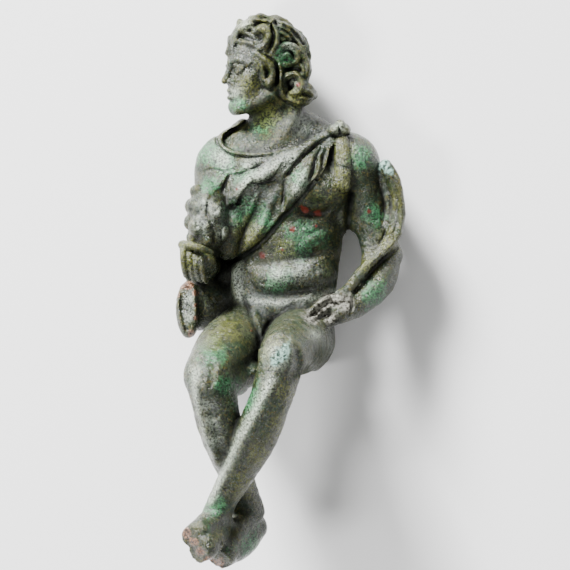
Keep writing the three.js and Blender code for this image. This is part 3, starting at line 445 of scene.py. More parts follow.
def outline_distance(outline, x, y):
    """The distance to the nearest edge of a closed outline, negative where a line out to one side
    crosses its edges an odd number of times."""
    nearest = np.full(np.broadcast(x, y).shape, np.inf)
    inside = np.zeros(nearest.shape, bool)
    for (ax, ay), (bx, by) in zip(outline, outline[1:] + outline[:1]):
        ux, uy = bx - ax, by - ay
        t = np.clip(((x - ax) * ux + (y - ay) * uy) / (ux * ux + uy * uy), 0, 1)
        nearest = np.minimum(nearest, np.hypot(x - ax - t * ux, y - ay - t * uy))
        if ay != by:
            inside ^= ((ay > y) != (by > y)) & (x < ax + (y - ay) / (by - ay) * ux)
    return np.where(inside, -nearest, nearest).astype(np.float32)


def lay_cloak(clay):
    """A coat: the body grown by the thickness of the cloak and its folds, kept inside the hem."""
    window = clay.window(np.array([-22, -10, -2]), np.array([14, 32, 20]))
    x, y, z = clay.points(window)
    front = z > SIDE_HEIGHT
    hem = np.where(front, outline_distance(HEM_FRONT, x, y), outline_distance(HEM_BACK, x, y))
    plan = x[:, 0, 0], y[0, :, 0]
    folds = np.where(front, relief(FRONT_FOLDS, *plan)[:, :, None], relief(BACK_FOLDS, *plan)[:, :, None])
    coat = -soft_min(-(clay.value[window] - CLOAK_THICKNESS - folds), -hem, 0.35)
    clay.value[window] = np.minimum(clay.value[window], coat)


lay_cloak(faun)

# Slots cut deep under the edges of the folds and of the hem.
SLOTS = [
    [[-6.8, 18.2, 0.3], [-7.7, 17, 0.6], [-8.8, 15.4, 0.65], [-10, 13.8, 0.4]],
    [[5.4, 25.9, 0.2], [3.2, 24, 0.25], [1.4, 22.3, 0.3], [-0.4, 20, 0.25]],
    [[-1.2, 21.9, 0.2], [-2.1, 20.3, 0.3], [-3.3, 18.9, 0.3], [-4.9, 18.4, 0.3], [-6.7, 18.4, 0.3]],
    [[4.3, 22.8, 0.2], [4, 20.8, 0.4], [3.4, 18.9, 0.3]],
    [[5.9, 22.8, 0.2], [5.6, 21, 0.35], [4.7, 19.1, 0.3]],
    [[4.2, 18.4, 0.3], [2.3, 15.9, 0.4], [0.2, 13.5, 0.4], [-1.2, 12.4, 0.4], [-2.6, 10.5, 0.45],
     [-4.7, 8.2, 0.45], [-6.8, 6.5, 0.45], [-9.1, 5.1, 0.45], [-10.9, 4.4, 0.4]],
]
for slot in SLOTS:
    faun.carve(limb(laid_on(faun, slot, -0.1)), 0.1, 1.5)

# The knot, and the paw that hangs from it with the claws at its end.
PAW = [[8.9, 26.6, 1.1], [9.1, 24.9, 1.35], [9.3, 21.9, 1.5], [9.3, 19.3, 1.45],
       [9.5, 17.9, 1.2]]
for middle, radii in [([7.7, 27.7, 10.6], [1.3, 1.0, 1.8]), ([8.8, 28.4, 10.3], [1.0, 1.2, 1.9]),
                      ([9.7, 27.8, 10.2], [1.0, 1.0, 1.7])]:
    faun.add(bulge(middle, radii), 0.25, 1.5)
faun.add(limb(laid_on(faun, PAW, 0.3), 12, np.array([0, 0, 1]), 0.75), 0.1, 1.5)
KNOT_RELIEF = [
    roll([[8.6, 29.1, -0.3, 0.25, 0.25], [8.7, 28, -0.5, 0.25, 0.25], [8.8, 27, -0.4, 0.3, 0.3]]),
    roll([[7.5, 26.8, -0.3, 0.25, 0.25], [8.9, 26.7, -0.5, 0.25, 0.25], [10.3, 27, -0.3, 0.25, 0.25]]),
    roll([[8.1, 21.2, -0.1, 0.3, 0.3], [9.1, 21.1, -0.3, 0.3, 0.3], [10.2, 21.2, -0.1, 0.3, 0.3]],
         SOFT, SOFT),
    roll([[8.8, 18.7, -0.1, 0.2, 0.2], [8.8, 17, -0.3, 0.2, 0.2]]),
    roll([[9.6, 18.7, -0.1, 0.2, 0.2], [9.7, 17, -0.3, 0.2, 0.2]]),
    roll([[8.6, 25.9, -0.1, 0.2, 0.2], [8.8, 23.8, -0.25, 0.2, 0.2], [8.6, 22.1, -0.1, 0.2, 0.2]]),
]
faun.emboss(KNOT_RELIEF)

# The head
# It turns to look over the right shoulder. The face is a plain, calm one on the usual canon.
# Its axes are X to its left ear, Y up and Z out of the face.

HEAD = np.array([
    [0.375, 0, -0.927, -5.0],
    [0, 1, 0, 38.8],
    [0.927, 0, 0.375, 9.0],
    [0, 0, 0, 1],
])


def in_head(stations):
    """Stations given in the axes of the head, in those of the figure."""
    points = np.asarray(stations, float)
    return np.hstack([points[:, :3] @ HEAD[:3, :3].T + HEAD[:3, 3], points[:, 3:]])


def both_sides(change, stations, blend, reach=1.5):
    stations = np.asarray(stations, float)
    change(limb(in_head(stations)), blend, reach)
    change(limb(in_head(stations * [-1, 1, 1, 1])), blend, reach)


# Skull, face, jaw and cheeks.
faun.add(bulge([0, 2, -0.8], [5.2, 6.0, 6.6], HEAD), 1.2)
faun.add(bulge([0, -3.2, 2.2], [3.9, 5.0, 3.9], HEAD), 1.2)
both_sides(faun.add, [[3.9, -1.8, -0.6, 1.3], [3.5, -5.2, 0.4, 1.2], [1.2, -7.2, 4.6, 1.1]], 1.2)
faun.add(bulge([0, -7.0, 4.9], [1.5, 1.3, 1.2], HEAD), 0.8)
both_sides(faun.add, [[2.8, -1.8, 3.4, 1.5], [2.6, -3.4, 3.6, 1.3]], 1.0)

# Brow, eyes, nose and mouth.
both_sides(faun.add, [[0.4, 0.9, 5.75, 0.45], [2.1, 1.3, 5.3, 0.45], [3.6, 0.7, 4.0, 0.4]], 0.8)
for side in (-1, 1):
    faun.carve(bulge([2.05 * side, -0.25, 6.2], [1.5, 0.9, 1.0], HEAD), 0.7)
    faun.add(bulge([2.05 * side, -0.3, 4.75], [1.25, 0.8, 1.0], HEAD), 0.05)
both_sides(faun.add, [[0.9, -0.4, 5.35, 0.24], [2.05, 0.35, 5.75, 0.34], [3.3, -0.25, 4.85, 0.28]], 0.1)
both_sides(faun.add, [[0.9, -0.4, 5.35, 0.2], [2.05, -1.05, 5.5, 0.26], [3.3, -0.25, 4.85, 0.24]], 0.1)
faun.add(limb(in_head([[0, 0.8, 5.8, 0.55], [0, -1.2, 6.5, 0.5], [0, -2.45, 7.05, 0.6]])), 0.5)
both_sides(faun.add, [[0.65, -2.5, 6.3, 0.42], [0.85, -2.8, 5.9, 0.35]], 0.3)
faun.add(limb(in_head([[-1.4, -4.35, 5.5, 0.3], [0, -4.1, 6.15, 0.42], [1.4, -4.35, 5.5, 0.3]])), 0.35)
faun.add(limb(in_head([[-1.2, -5.2, 5.5, 0.3], [0, -5.4, 6.05, 0.45], [1.2, -5.2, 5.5, 0.3]])), 0.35)
faun.carve(limb(in_head([[-1.5, -4.75, 6.1, 0.16], [0, -4.75, 6.75, 0.16], [1.5, -4.75, 6.1, 0.16]])), 0.15)

# The rounded mass of hair, with rows of locks on the far side and the back.
CAP_CENTRE = np.array([0, 2.4, -0.7])
CAP_RADII = np.array([5.6, 6.1, 6.1])
faun.add(bulge(CAP_CENTRE, CAP_RADII, HEAD), 0.6)
faun.add(bulge([2.4, 34.2, 9.5], [1.8, 2.2, 2.4]), 0.8)
faun.add(bulge([1.4, 38.2, 9.0], [2.2, 3.4, 3.2]), 0.8)


# The main locks of the near side, [x, y, end x, end y, bow to the left, radius] on the plan.
CONTOUR_LOCKS = [
    [-4.9, 47.5, -8.8, 46.8, 0.5, 0.9], [-8.6, 46.4, -10.2, 43.8, 0.5, 0.8],
    [-6.7, 46.3, -8.2, 45.2, 0.3, 0.9], [-10.3, 43.8, -11, 41.3, 0.2, 0.8],
    [-3.9, 46.1, -5.8, 45.4, 0.6, 0.9], [-3.2, 47.5, -2.5, 42.6, -0.8, 0.7],
    [-2.5, 47.3, 1.1, 44.7, 0.4, 0.8], [-1.6, 45.9, 1.8, 43.1, 0.5, 0.8],
    [1.6, 44.5, 3.3, 40.3, 0.4, 0.8], [1.6, 41.7, 2.5, 36.4, 0.3, 0.9],
    [2.3, 35.4, 4.2, 33.8, 0.4, 1.1], [0.7, 34, 3, 32.8, -0.4, 1.1],
]


def lock_on_plan(x, y, end_x, end_y, bow, radius):
    """A lock lies on the head along a bow: a straight line pushed aside by a half sine."""
    t = np.linspace(0, 1, 4)
    aside = bow * np.sin(math.pi * t) / math.hypot(end_x - x, end_y - y)
    along_x = x + t * (end_x - x) - (end_y - y) * aside
    along_y = y + t * (end_y - y) + (end_x - x) * aside
    return laid_on(faun, np.column_stack([along_x, along_y, radius * (1 - 0.4 * t)]), 0.1)


for lock in [limb(lock_on_plan(*row)) for row in CONTOUR_LOCKS]:
    faun.add(lock, 0.5, 1.5)


def on_cap(turn, rise):
    a, b = math.radians(turn), math.radians(rise)
    unit = np.array([math.sin(a) * math.cos(b), math.sin(b), math.cos(a) * math.cos(b)])
    return CAP_CENTRE + unit * (CAP_RADII + 0.05)


def hidden_locks(rise, first, last, number, fall):
    """A row of locks round the far side: each falls in an S from its rise."""
    for n, turn in enumerate(np.linspace(first, last, number)):
        sway = 9 if n % 2 else -9
        yield [
            [*on_cap(turn, rise), 0.9],
            [*on_cap(turn + sway, rise - fall / 2), 0.9],
            [*on_cap(turn - sway / 2, rise - fall), 0.6],
        ]


HIDDEN_ROWS = [[62, 170, 350, 6, 30], [36, 165, 345, 8, 30], [-2, 172, 280, 6, 30], [-32, 176, 250, 4, 22]]
for row in HIDDEN_ROWS:
    for stations in hidden_locks(*row):
        faun.add(limb(in_head(stations)), 0.3, 1.5)

# The far ear.
faun.carve(limb(in_head([[-5.4, 0.4, 0.5, 0.5], [-5.3, -2.4, -0.1, 0.6], [-4.6, -4.5, 0.2, 0.5]])), 0.3)
faun.add(limb(in_head([[-3.9, 2.6, 3.8, 0.45], [-4.9, 1.4, 2.8, 0.6], [-5.7, 0.3, 1.7, 0.6],
                       [-5.9, -1.2, 1.3, 0.6], [-4.9, -3.0, 1.9, 0.5]])), 0.2)

# Locks on the near side, as ridges on the plan: short curls over the forehead, long strands from
# the crown, and two large curls behind the ear.
NEAR_LOCKS = [
    roll([[-6.3, 46.4, 0.4, 0.8, 0.7], [-7.5, 46.2, 0.9, 1.0, 0.8], [-8.8, 45.7, 0.8, 0.9, 0.8],
          [-9.5, 44.5, 0.7, 0.6, 0.7], [-9.9, 43.1, 0.6, 0.5, 0.6], [-10.2, 41.9, 0.3, 0.4, 0.4]],
         FULL, FULL, 3),
    roll([[-6.8, 44.2, 0.3, 0.5, 0.5], [-6.1, 45, 0.7, 0.8, 0.7], [-5.1, 45.6, 1.0, 1.1, 0.8],
          [-4.2, 44.9, 1.0, 1.0, 0.7], [-4, 43.6, 0.9, 1.0, 0.7], [-4.6, 42.6, 0.7, 0.8, 0.6],
          [-5.6, 42.2, 0.3, 0.6, 0.5]], FULL, FULL, 2),
    roll([[-9.5, 43.4, 0.2, 0.4, 0.5], [-7.7, 43.2, 0.5, 0.5, 0.6], [-6.5, 42.7, 0.5, 0.5, 0.6],
          [-5.3, 41.9, 0.2, 0.4, 0.4]], FULL, FULL, 1),
    roll([[-8.6, 44.9, 0.2, 0.4, 0.4], [-7.4, 44.8, 0.4, 0.5, 0.5], [-6.3, 43.8, 0.3, 0.4, 0.4]],
         FULL, FULL, 1),
    roll([[-2.9, 46.1, 0.5, 0.45, 0.4], [-2.2, 44.7, 0.9, 0.5, 0.4], [-2.3, 43.3, 0.8, 0.5, 0.4],
          [-2.8, 41.7, 0.3, 0.4, 0.4]], FULL, KEEN),
    roll([[-4.2, 47, 0.2, 0.5, 0.6], [-5.6, 47.2, 0.5, 0.6, 0.6], [-7, 47, 0.5, 0.6, 0.5],
          [-8.2, 46.7, 0.2, 0.4, 0.4]], FULL, FULL, 1),
    roll([[-3.9, 47.7, 0.2, 0.4, 0.5], [-5.4, 47.9, 0.4, 0.5, 0.6], [-7, 47.7, 0.3, 0.5, 0.5]],
         FULL, FULL, 1),
    roll([[-3.3, 46.6, 0.2, 0.4, 0.4], [-2.8, 47.3, 0.5, 0.6, 0.6], [-1.9, 47.1, 0.3, 0.5, 0.5]],
         FULL, FULL, 1),
    roll([[-2.5, 46.9, 0.2, 0.4, 0.4], [-0.4, 46.2, 0.5, 0.5, 0.5], [1.2, 44.9, 0.5, 0.5, 0.5],
          [2.5, 42.9, 0.4, 0.5, 0.5], [3, 41.2, 0.2, 0.4, 0.4]], FULL, FULL, 1),
    roll([[-2.5, 46.1, 0.3, 0.4, 0.4], [-0.7, 45.4, 0.7, 0.55, 0.55], [0.7, 44.2, 0.7, 0.55, 0.55],
          [1.8, 42.4, 0.6, 0.5, 0.5], [2.5, 40.3, 0.3, 0.4, 0.4]], FULL, FULL, 2),
    roll([[-2.1, 45.2, 0.3, 0.4, 0.4], [-0.9, 44.5, 0.8, 0.6, 0.5], [0.2, 43.4, 0.5, 0.5, 0.4]],
         FULL, FULL, 1),
    roll([[-1.9, 44.1, 0.3, 0.4, 0.4], [-1.1, 43.4, 0.6, 0.5, 0.4]], FULL, FULL),
    roll([[-2.1, 41.5, 0.3, 0.5, 0.6], [-1.1, 42.4, 0.8, 0.8, 0.8], [0.2, 42.7, 1.0, 0.8, 0.9],
          [1.2, 41.9, 1.1, 0.6, 1.0], [1.5, 40.6, 1.0, 0.6, 0.9], [0.7, 39.6, 0.8, 0.6, 0.7],
          [-0.7, 39.2, 0.5, 0.5, 0.6]], FULL, FULL, 3),
    roll([[-1.2, 40.8, 0.4, 0.5, 0.6], [-0.4, 41, 0.9, 0.6, 0.7], [0.2, 40.3, 0.7, 0.5, 0.6]],
         FULL, FULL, 1),
    roll([[2.6, 41, 0.2, 0.5, 0.5], [3.2, 39.6, 0.6, 0.6, 0.6], [3.3, 38.4, 0.6, 0.6, 0.6],
          [2.8, 36.6, 0.3, 0.5, 0.5]], FULL, FULL, 1),
    roll([[1.8, 39.4, 0.2, 0.4, 0.4], [2.4, 38.2, 0.5, 0.5, 0.5], [2.3, 36.4, 0.2, 0.4, 0.4]],
         FULL, FULL, 1),
    roll([[-1.8, 39.2, 0.3, 0.4, 0.3], [-1.5, 37.8, 0.6, 0.45, 0.3], [-1.6, 36.1, 0.6, 0.45, 0.3],
          [-1.4, 34.3, 0.3, 0.4, 0.3]], SOFT, KEEN),
    roll([[-1.1, 36.6, 0.4, 0.5, 0.5], [-0.3, 37.3, 0.9, 0.7, 0.7], [0.9, 37.6, 1.1, 0.7, 0.8],
          [1.8, 36.8, 1.1, 0.7, 0.8], [2.1, 35.4, 1.0, 0.7, 0.8], [1.4, 34.3, 0.8, 0.6, 0.7],
          [0, 34.1, 0.5, 0.6, 0.6]], FULL, FULL, 2),
    roll([[0.4, 36.3, 0.4, 0.4, 0.4], [1.1, 35.9, 0.8, 0.5, 0.5], [1, 35, 0.5, 0.4, 0.4]],
         FULL, FULL),
    roll([[-1.4, 35, 0.3, 0.4, 0.4], [-1.1, 33.8, 0.6, 0.5, 0.5], [0, 32.9, 0.6, 0.6, 0.6],
          [1.6, 32.2, 0.3, 0.5, 0.5]], FULL, FULL, 2),
    roll([[-3, 33.8, 0.1, 0.4, 0.4], [-1.9, 32.9, 0.35, 0.5, 0.5], [-0.5, 32.1, 0.35, 0.5, 0.5],
          [1.1, 31.4, 0.1, 0.4, 0.4]], SOFT, SOFT, 1),
    roll([[2.1, 34.9, 0.3, 0.6, 0.6], [3, 34.5, 0.6, 0.8, 0.7], [4, 33.8, 0.4, 0.6, 0.6]],
         FULL, FULL, 1),
    roll([[1.8, 33.5, 0.3, 0.5, 0.5], [2.8, 33.4, 0.5, 0.5, 0.5], [3.7, 33.3, 0.3, 0.4, 0.4]],
         FULL, FULL, 1),
    roll([[-3.2, 46.1, -0.4, 0.3, 0.3], [-3, 44.5, -0.9, 0.35, 0.35], [-3.2, 42.7, -0.8, 0.35, 0.35],
          [-3.9, 41.5, -0.4, 0.3, 0.3]], FULL, FULL),
    roll([[-2.5, 39.6, -0.5, 0.35, 0.35], [-2.2, 37.8, -1.0, 0.4, 0.4], [-2.3, 36.1, -0.9, 0.4, 0.4],
          [-3.2, 34.7, -0.4, 0.35, 0.35]], FULL, FULL),
    roll([[-8.8, 44.2, -0.3, 0.4, 0.4], [-7.5, 44, -0.5, 0.5, 0.5], [-6.5, 43.4, -0.3, 0.4, 0.4]],
         SOFT, SOFT),
    roll([[-6.3, 45.7, -0.4, 0.3, 0.3], [-5.8, 46.3, -0.6, 0.4, 0.4], [-4.6, 46.5, -0.5, 0.3, 0.3],
          [-3.5, 46.3, -0.3, 0.3, 0.3]], SOFT, SOFT),
    roll([[-8.2, 47.1, -0.2, 0.3, 0.3], [-7.2, 46.6, -0.4, 0.3, 0.3]], SOFT, SOFT),
    roll([[-5.4, 44.3, -0.2, 0.4, 0.4], [-5.1, 43.6, -0.5, 0.45, 0.45]], SOFT, SOFT),
    roll([[-1.6, 43.1, -0.2, 0.3, 0.3], [-0.2, 43.3, -0.5, 0.3, 0.3], [1.2, 42.9, -0.5, 0.3, 0.3],
          [2.1, 41.7, -0.3, 0.3, 0.3]], SOFT, SOFT),
    roll([[-1.2, 38.4, -0.2, 0.3, 0.3], [0.5, 38.5, -0.6, 0.4, 0.4], [1.8, 38.2, -0.4, 0.3, 0.3]],
         FULL, FULL),
    roll([[-0.5, 36.1, -0.4, 0.4, 0.4], [0, 35, -0.6, 0.5, 0.5]], SOFT, SOFT),
    roll([[-5.3, 41.5, -0.2, 0.3, 0.3], [-3.9, 40.6, -0.4, 0.3, 0.35], [-2.5, 39.6, -0.4, 0.3, 0.3]],
         SOFT, SOFT),
]
faun.emboss(NEAR_LOCKS)

# The near ear: a thick rim that comes to a point, round a small hollow.
NEAR_EAR = [
    roll([[-6.1, 41.3, 0.3, 0.45, 0.4], [-4.9, 40.4, 0.8, 0.6, 0.5], [-3.7, 39.3, 1.0, 0.7, 0.6],
          [-3, 38.2, 1.0, 0.7, 0.6], [-3.2, 37, 0.9, 0.7, 0.6], [-3.9, 35.9, 0.8, 0.8, 0.7]],
         FULL, FULL),
    roll([[-5.8, 40.3, 0.2, 0.6, 0.5], [-4.9, 38.5, 0.4, 0.7, 0.6], [-4.6, 36.6, 0.5, 0.7, 0.6],
          [-4, 35.6, 0.6, 0.6, 0.5]], SOFT, SOFT),
    roll([[-4.5, 38.7, -0.3, 0.4, 0.4], [-4, 37.8, -0.6, 0.45, 0.45], [-4.1, 37, -0.3, 0.4, 0.4]],
         SOFT, SOFT),
    roll([[-4.9, 35.2, -0.2, 0.3, 0.3], [-3.9, 34.7, -0.5, 0.35, 0.35], [-3, 35, -0.3, 0.3, 0.3]],
         SOFT, SOFT),
]
faun.emboss(NEAR_EAR)

# The right hand and its bunch of fruit
# The forearm points forward, the fingers close over the bottom of the bunch, and the thumb
# lies across the top of them.

BUNCH_CENTRE = np.array([-14.4, 12.2, 13.0])
BUNCH_RADII = np.array([3.7, 6.6, 4.4])
FRUIT = [
    [-16.1, 17.2, 0.9], [-16.1, 14.2, 1.2], [-13.1, 13.3, 1.5], [-16.3, 10.9, 1.7], [-11.9, 9.8, 1.4],
    [-14.4, 8.4, 1.0], [-14.5, 15.9, 0.8], [-14.4, 10.9, 0.8],
]


def outer_fruit():
    """Rows round the outer side of the bunch, each shifted against the last."""
    for row, height in enumerate((-0.55, -0.1, 0.35, 0.75)):
        for n in range(3):
            turn = math.radians(-62 - 32 * n - 16 * (row % 2))
            width = math.sqrt(1 - height * height)
            unit = np.array([width * math.sin(turn), height, width * math.cos(turn)])
            yield [*(BUNCH_CENTRE + (BUNCH_RADII - 0.45) * unit), 1.2]


faun.add(bulge(BUNCH_CENTRE, BUNCH_RADII), 1.0)
faun.add(limb([[-10, 14.5, 12.0, 1.6], [-10.3, 11, 12.4, 2.2], [-11, 6.7, 12.6, 1.8]]), 1.0)
fruit = [[x, y, faun.surface(x, y) - 0.5 * r, r] for x, y, r in FRUIT] + list(outer_fruit())
for x, y, z, r in fruit:
    faun.add(bulge([x, y, z], [r * 0.9, r * 1.15, r]), 0.15, 1.5)
FRUIT_RELIEF = [
    roll([[-13.5, 14, -0.4, 0.4, 0.4], [-13, 13.5, -0.7, 0.45, 0.45]], SOFT, SOFT),
    roll([[-11.9, 10.5, -0.4, 0.3, 0.3], [-12.1, 8.9, -0.7, 0.35, 0.35]], SOFT, SOFT),
    roll([[-16.5, 11.7, -0.3, 0.3, 0.3], [-16.3, 10.7, -0.5, 0.35, 0.35]], SOFT, SOFT),
    roll([[-14.5, 14.9, -0.3, 0.3, 0.3], [-14.5, 13, -0.6, 0.35, 0.35], [-13.7, 11.7, -0.3, 0.3, 0.3]],
         SOFT, SOFT),
    roll([[-14.2, 11.6, -0.2, 0.3, 0.3], [-13.3, 9.8, -0.5, 0.35, 0.35], [-13.5, 7.9, -0.3, 0.3, 0.3]],
         SOFT, SOFT),
    roll([[-16.5, 16.1, -0.2, 0.3, 0.3], [-16.3, 15.1, -0.4, 0.3, 0.3]], SOFT, SOFT),
]
faun.emboss(FRUIT_RELIEF)

# The wrist and the back of the hand, the four fingers bent down over it, and the thumb.
faun.add(limb([[-16.6, 4.4, 15.0, 2.3], [-16.4, 3.9, 17.4, 2.4]]), 0.6)
faun.add(limb([[-14.9, 3.4, 13.0, 1.7], [-14.4, 3.2, 15.6, 1.4]]), 0.6)
FINGERS = [[-18.7, 6.7, 0.62], [-17.5, 6.5, 0.6], [-16.5, 6.3, 0.6], [-15.5, 6.1, 0.55]]
for x, y, r in FINGERS:
    finger = [[x, y + 0.4, 19.2, r * 0.95], [x, y - 1.0, 20.1, r], [x + 0.15, y - 2.8, 19.9, r],
              [x + 0.5, y - 4.4, 18.4, r * 0.85], [x + 0.9, y - 5.0, 17.0, r * 0.8]]
    faun.add(limb(finger), 0.05, 1.5)
faun.add(limb([[-18.7, 7.5, 18.6, 0.9], [-17.3, 7.4, 20.3, 0.8], [-15.6, 6.9, 20.6, 0.7],
               [-13.7, 6.2, 19.6, 0.45]]), 0.15, 1.5)

# The hanging end of the cloak
# Outside the right thigh the skin fans out to an open, hollow mouth with a thick rim.

faun.add(limb([[-15.5, 5.5, 3.4, 2.2], [-15.2, 0.5, 4.6, 3.2], [-16.2, -3.7, 6.0, 3.8]], 12), 1.2)
faun.add(limb([[-11.5, -2.5, 4.5, 3.6], [-14.5, -3.2, 6, 3.4]], 12), 1.5)
faun.add(bulge([-17.9, -3.8, 9.0], [2.2, 5.1, 2.6]), 1.0)
MOUTH = [
    roll([[-18.4, -0.5, -0.4, 0.7, 0.7], [-18.5, -2.5, -1.0, 1.1, 1.0], [-18.3, -4.9, -1.0, 1.0, 0.9],
          [-18, -7.2, -0.4, 0.5, 0.6]], FULL, FULL),
    roll([[-18.2, 0.7, 0.3, 0.4, 0.4], [-17, 0, 0.5, 0.45, 0.4], [-16.7, -2.5, 0.4, 0.4, 0.4],
          [-16.6, -5.6, 0.3, 0.4, 0.4], [-17.3, -8.1, 0.2, 0.4, 0.4]], FULL, FULL),
]
faun.emboss(MOUTH)

# The left hand
# It lies on the thigh, worn and corroded down to two ridges with a groove between.

faun.add(limb([[9.6, -2.2, 14.2, 1.8], [6.1, -3.2, 15.2, 1.3], [3.5, -4.5, 16.2, 0.9],
               [1.4, -5.9, 16.0, 0.6]], 12), 0.4)
faun.add(limb([[9.6, -4.0, 14.2, 1.7], [7.0, -5.8, 15.0, 1.1], [4.4, -6.6, 15.8, 0.8]], 12), 0.4)
LEFT_HAND_RELIEF = [
    roll([[8.8, -3.3, -0.2, 0.4, 0.4], [6.7, -2.6, -0.7, 0.5, 0.5], [4.9, -4, -0.6, 0.45, 0.45],
          [3.2, -5.3, -0.3, 0.4, 0.4]], FULL, FULL),
    roll([[7.7, -4.6, -0.1, 0.3, 0.3], [5.8, -5.1, -0.4, 0.35, 0.35], [3.9, -6, -0.2, 0.3, 0.3]],
         FULL, FULL),
    roll([[9.6, -1.4, 0.1, 0.5, 0.5], [7, -1.4, 0.4, 0.5, 0.5], [4.9, -2.6, 0.4, 0.4, 0.4],
          [3.2, -4.2, 0.2, 0.4, 0.4]], FULL, SOFT),
    roll([[10.9, -1.6, -0.2, 0.3, 0.3], [10.9, -3.5, -0.4, 0.4, 0.4], [10, -4.9, -0.2, 0.3, 0.3]],
         SOFT, SOFT),
]
faun.emboss(LEFT_HAND_RELIEF)

# The stick
# A throwing stick held along the left arm, a round rod on the forearm and a flat crook above the
# elbow, broken off at the top.

STRAP_FLAT = np.array([1, 0.1, -0.9]) / math.sqrt(1.82)
faun.add(limb([[16.8, 21.2, 9.5, 1.5], [18.2, 18.9, 9.6, 1.5], [18.9, 15.9, 9.4, 1.5],
               [19.1, 13, 9.2, 1.5], [18.6, 10.2, 9.6, 1.4]], 12, STRAP_FLAT, 0.6), 0.3)
faun.add(limb([[15.8, 20.3, 7.4, 1.6], [17.7, 17.2, 7.6, 1.6], [18.3, 13.7, 7.7, 1.6],
               [17.9, 10.5, 8, 1.7]], 12), 0.5)
faun.add(limb([[18.7, 10.5, 9.6, 1.2], [16.8, 7.4, 9.9, 1.1], [14.2, 4.7, 11.2, 1.0],
               [12.3, 2.5, 12.4, 1.0], [10.3, 0, 13.8, 0.9], [8.6, -1.1, 14.8, 0.8]], 12), 0.3)
STICK_RELIEF = [
    roll([[17.9, 20, -0.2, 0.2, 0.3], [18.7, 17.2, -0.4, 0.25, 0.5], [18.9, 13.7, -0.4, 0.25, 0.5],
          [18.6, 10.5, -0.3, 0.25, 0.4], [17.3, 8.4, -0.1, 0.2, 0.3]], FULL, SOFT),
    roll([[18.6, 19.6, 0.1, 0.3, 0.3], [19.4, 16.3, 0.3, 0.35, 0.3], [19.6, 12.8, 0.3, 0.35, 0.3],
          [19.1, 9.3, 0.3, 0.4, 0.3], [17.2, 6.8, 0.3, 0.4, 0.4], [14.5, 4.6, 0.2, 0.4, 0.4]],
         FULL, FULL),
    roll([[16.8, 18.6, -0.2, 0.3, 0.3], [17.7, 15.9, -0.35, 0.35, 0.35], [17.7, 13.1, -0.35, 0.35, 0.35],
          [17, 10.2, -0.3, 0.35, 0.35], [15.8, 7.9, -0.2, 0.3, 0.3]], SOFT, FULL),
    roll([[18.9, 7, -0.3, 0.3, 0.3], [16.6, 5, -0.6, 0.4, 0.4], [14.7, 3.2, -0.6, 0.4, 0.4],
          [13, 1.2, -0.4, 0.35, 0.35], [11.4, -0.7, -0.3, 0.3, 0.3]], FULL, FULL),
]
faun.emboss(STICK_RELIEF)

# The feet
# They hung free of the ground, crossed, and the toes of both are broken away.

faun.add(limb([[-12.0, -41.2, 22.4, 2.3], [-13.6, -43.7, 25.8, 2.4], [-14.4, -45.0, 28.6, 2.2]], 12), 1.0)
faun.add(limb([[-13.4, -40.4, 24.8, 2.3], [-16.1, -42.4, 28.0, 1.9]], 12), 0.8)
faun.add(limb([[-6.5, -41.9, 15.0, 2.5], [-8.6, -44.6, 18.6, 2.6], [-11.7, -46.2, 22.2, 2.5]], 12), 1.0)
faun.add(limb([[-7.4, -40.2, 17.6, 2.3], [-10.4, -43.6, 21.6, 2.3]], 12), 0.8)
faun.add(limb([[-14.6, -44.6, 29.0, 2.2], [-16.0, -46.0, 28.2, 1.9]]), 0.5)
faun.add(limb([[-15.6, -42.2, 28.4, 2.1], [-17.2, -43.2, 28.2, 1.8]]), 0.5)
faun.add(limb([[-11.4, -45.8, 22.6, 2.5], [-12.4, -47.4, 23.0, 2.0]]), 0.5)

# Metal left between the ankles where the mould could not part.
faun.add(bulge([-9.3, -37.1, 19.0], [1.6, 2.6, 2.2]), 0.8)


def lattice_noise(points, size, seed):
    """Smooth noise from -1 to 1: random values at the corners of cubes of the given size, blended by
    3t^2 - 2t^3 along each axis."""
    table = np.random.default_rng(seed).uniform(-1, 1, (32, 32, 32)).astype(np.float32)
    place = points / size
    corner = np.floor(place).astype(int)
    t = place - corner
    t = t * t * (3 - 2 * t)
    total = np.zeros(len(points), np.float32)
    for n in range(8):
        step = np.array([n & 1, n >> 1 & 1, n >> 2])
        weight = np.prod(np.where(step, t, 1 - t), axis=1)
        i, j, k = ((corner + step) % 32).T
        total += weight * table[i, j, k]
    return total


def break_off(clay, middle, outwards, radius):
    """Cuts what lies beyond a plane within a radius of its middle. Noise makes the break
    uneven."""
    middle = np.array(middle)
    outwards = np.array(outwards) / np.linalg.norm(outwards)
    window = clay.window(middle - radius, middle + radius)
    x, y, z = np.broadcast_arrays(*clay.points(window))
    away = np.stack([x, y, z], axis=-1).reshape(-1, 3) - middle
    beyond = away @ outwards + 0.35 * lattice_noise(away, 1.3, 1) + 0.15 * lattice_noise(away, 0.6, 2)
    cut = np.minimum(beyond, radius - np.linalg.norm(away, axis=1)).reshape(x.shape)
    clay.value[window] = np.maximum(clay.value[window], cut).astype(np.float32)


break_off(faun, [-15.8, -44.5, 29.9], [-0.69, -0.40, 0.61], 5.0)
break_off(faun, [-11.9, -47.0, 24.0], [-0.35, -0.75, 0.55], 5.0)

# The surface of the cast
# The skin of the lump, roughened by casting and by centuries in the ground, with the flats that
# the figure rests on and the flat of its lost seat.

SEAT_LEVEL = -14.6
SEAT_TOP = 9.0
ORIGIN = np.array([0.03, -0.11, 0.0])
FACE_LIMIT = 195000


def cut_flats(clay):
    """Keeps what is above the plane z = 0 and, under the left buttock, above the seat."""
    x, y, z = clay.points(clay.window(clay.low, clay.low + CELL * clay.count))
    seat = np.where((z < SEAT_TOP) & (x > -6) & (x < 9), SEAT_LEVEL - y, -FAR)
    clay.value = np.maximum(clay.value, np.maximum(-z, seat)).astype(np.float32)


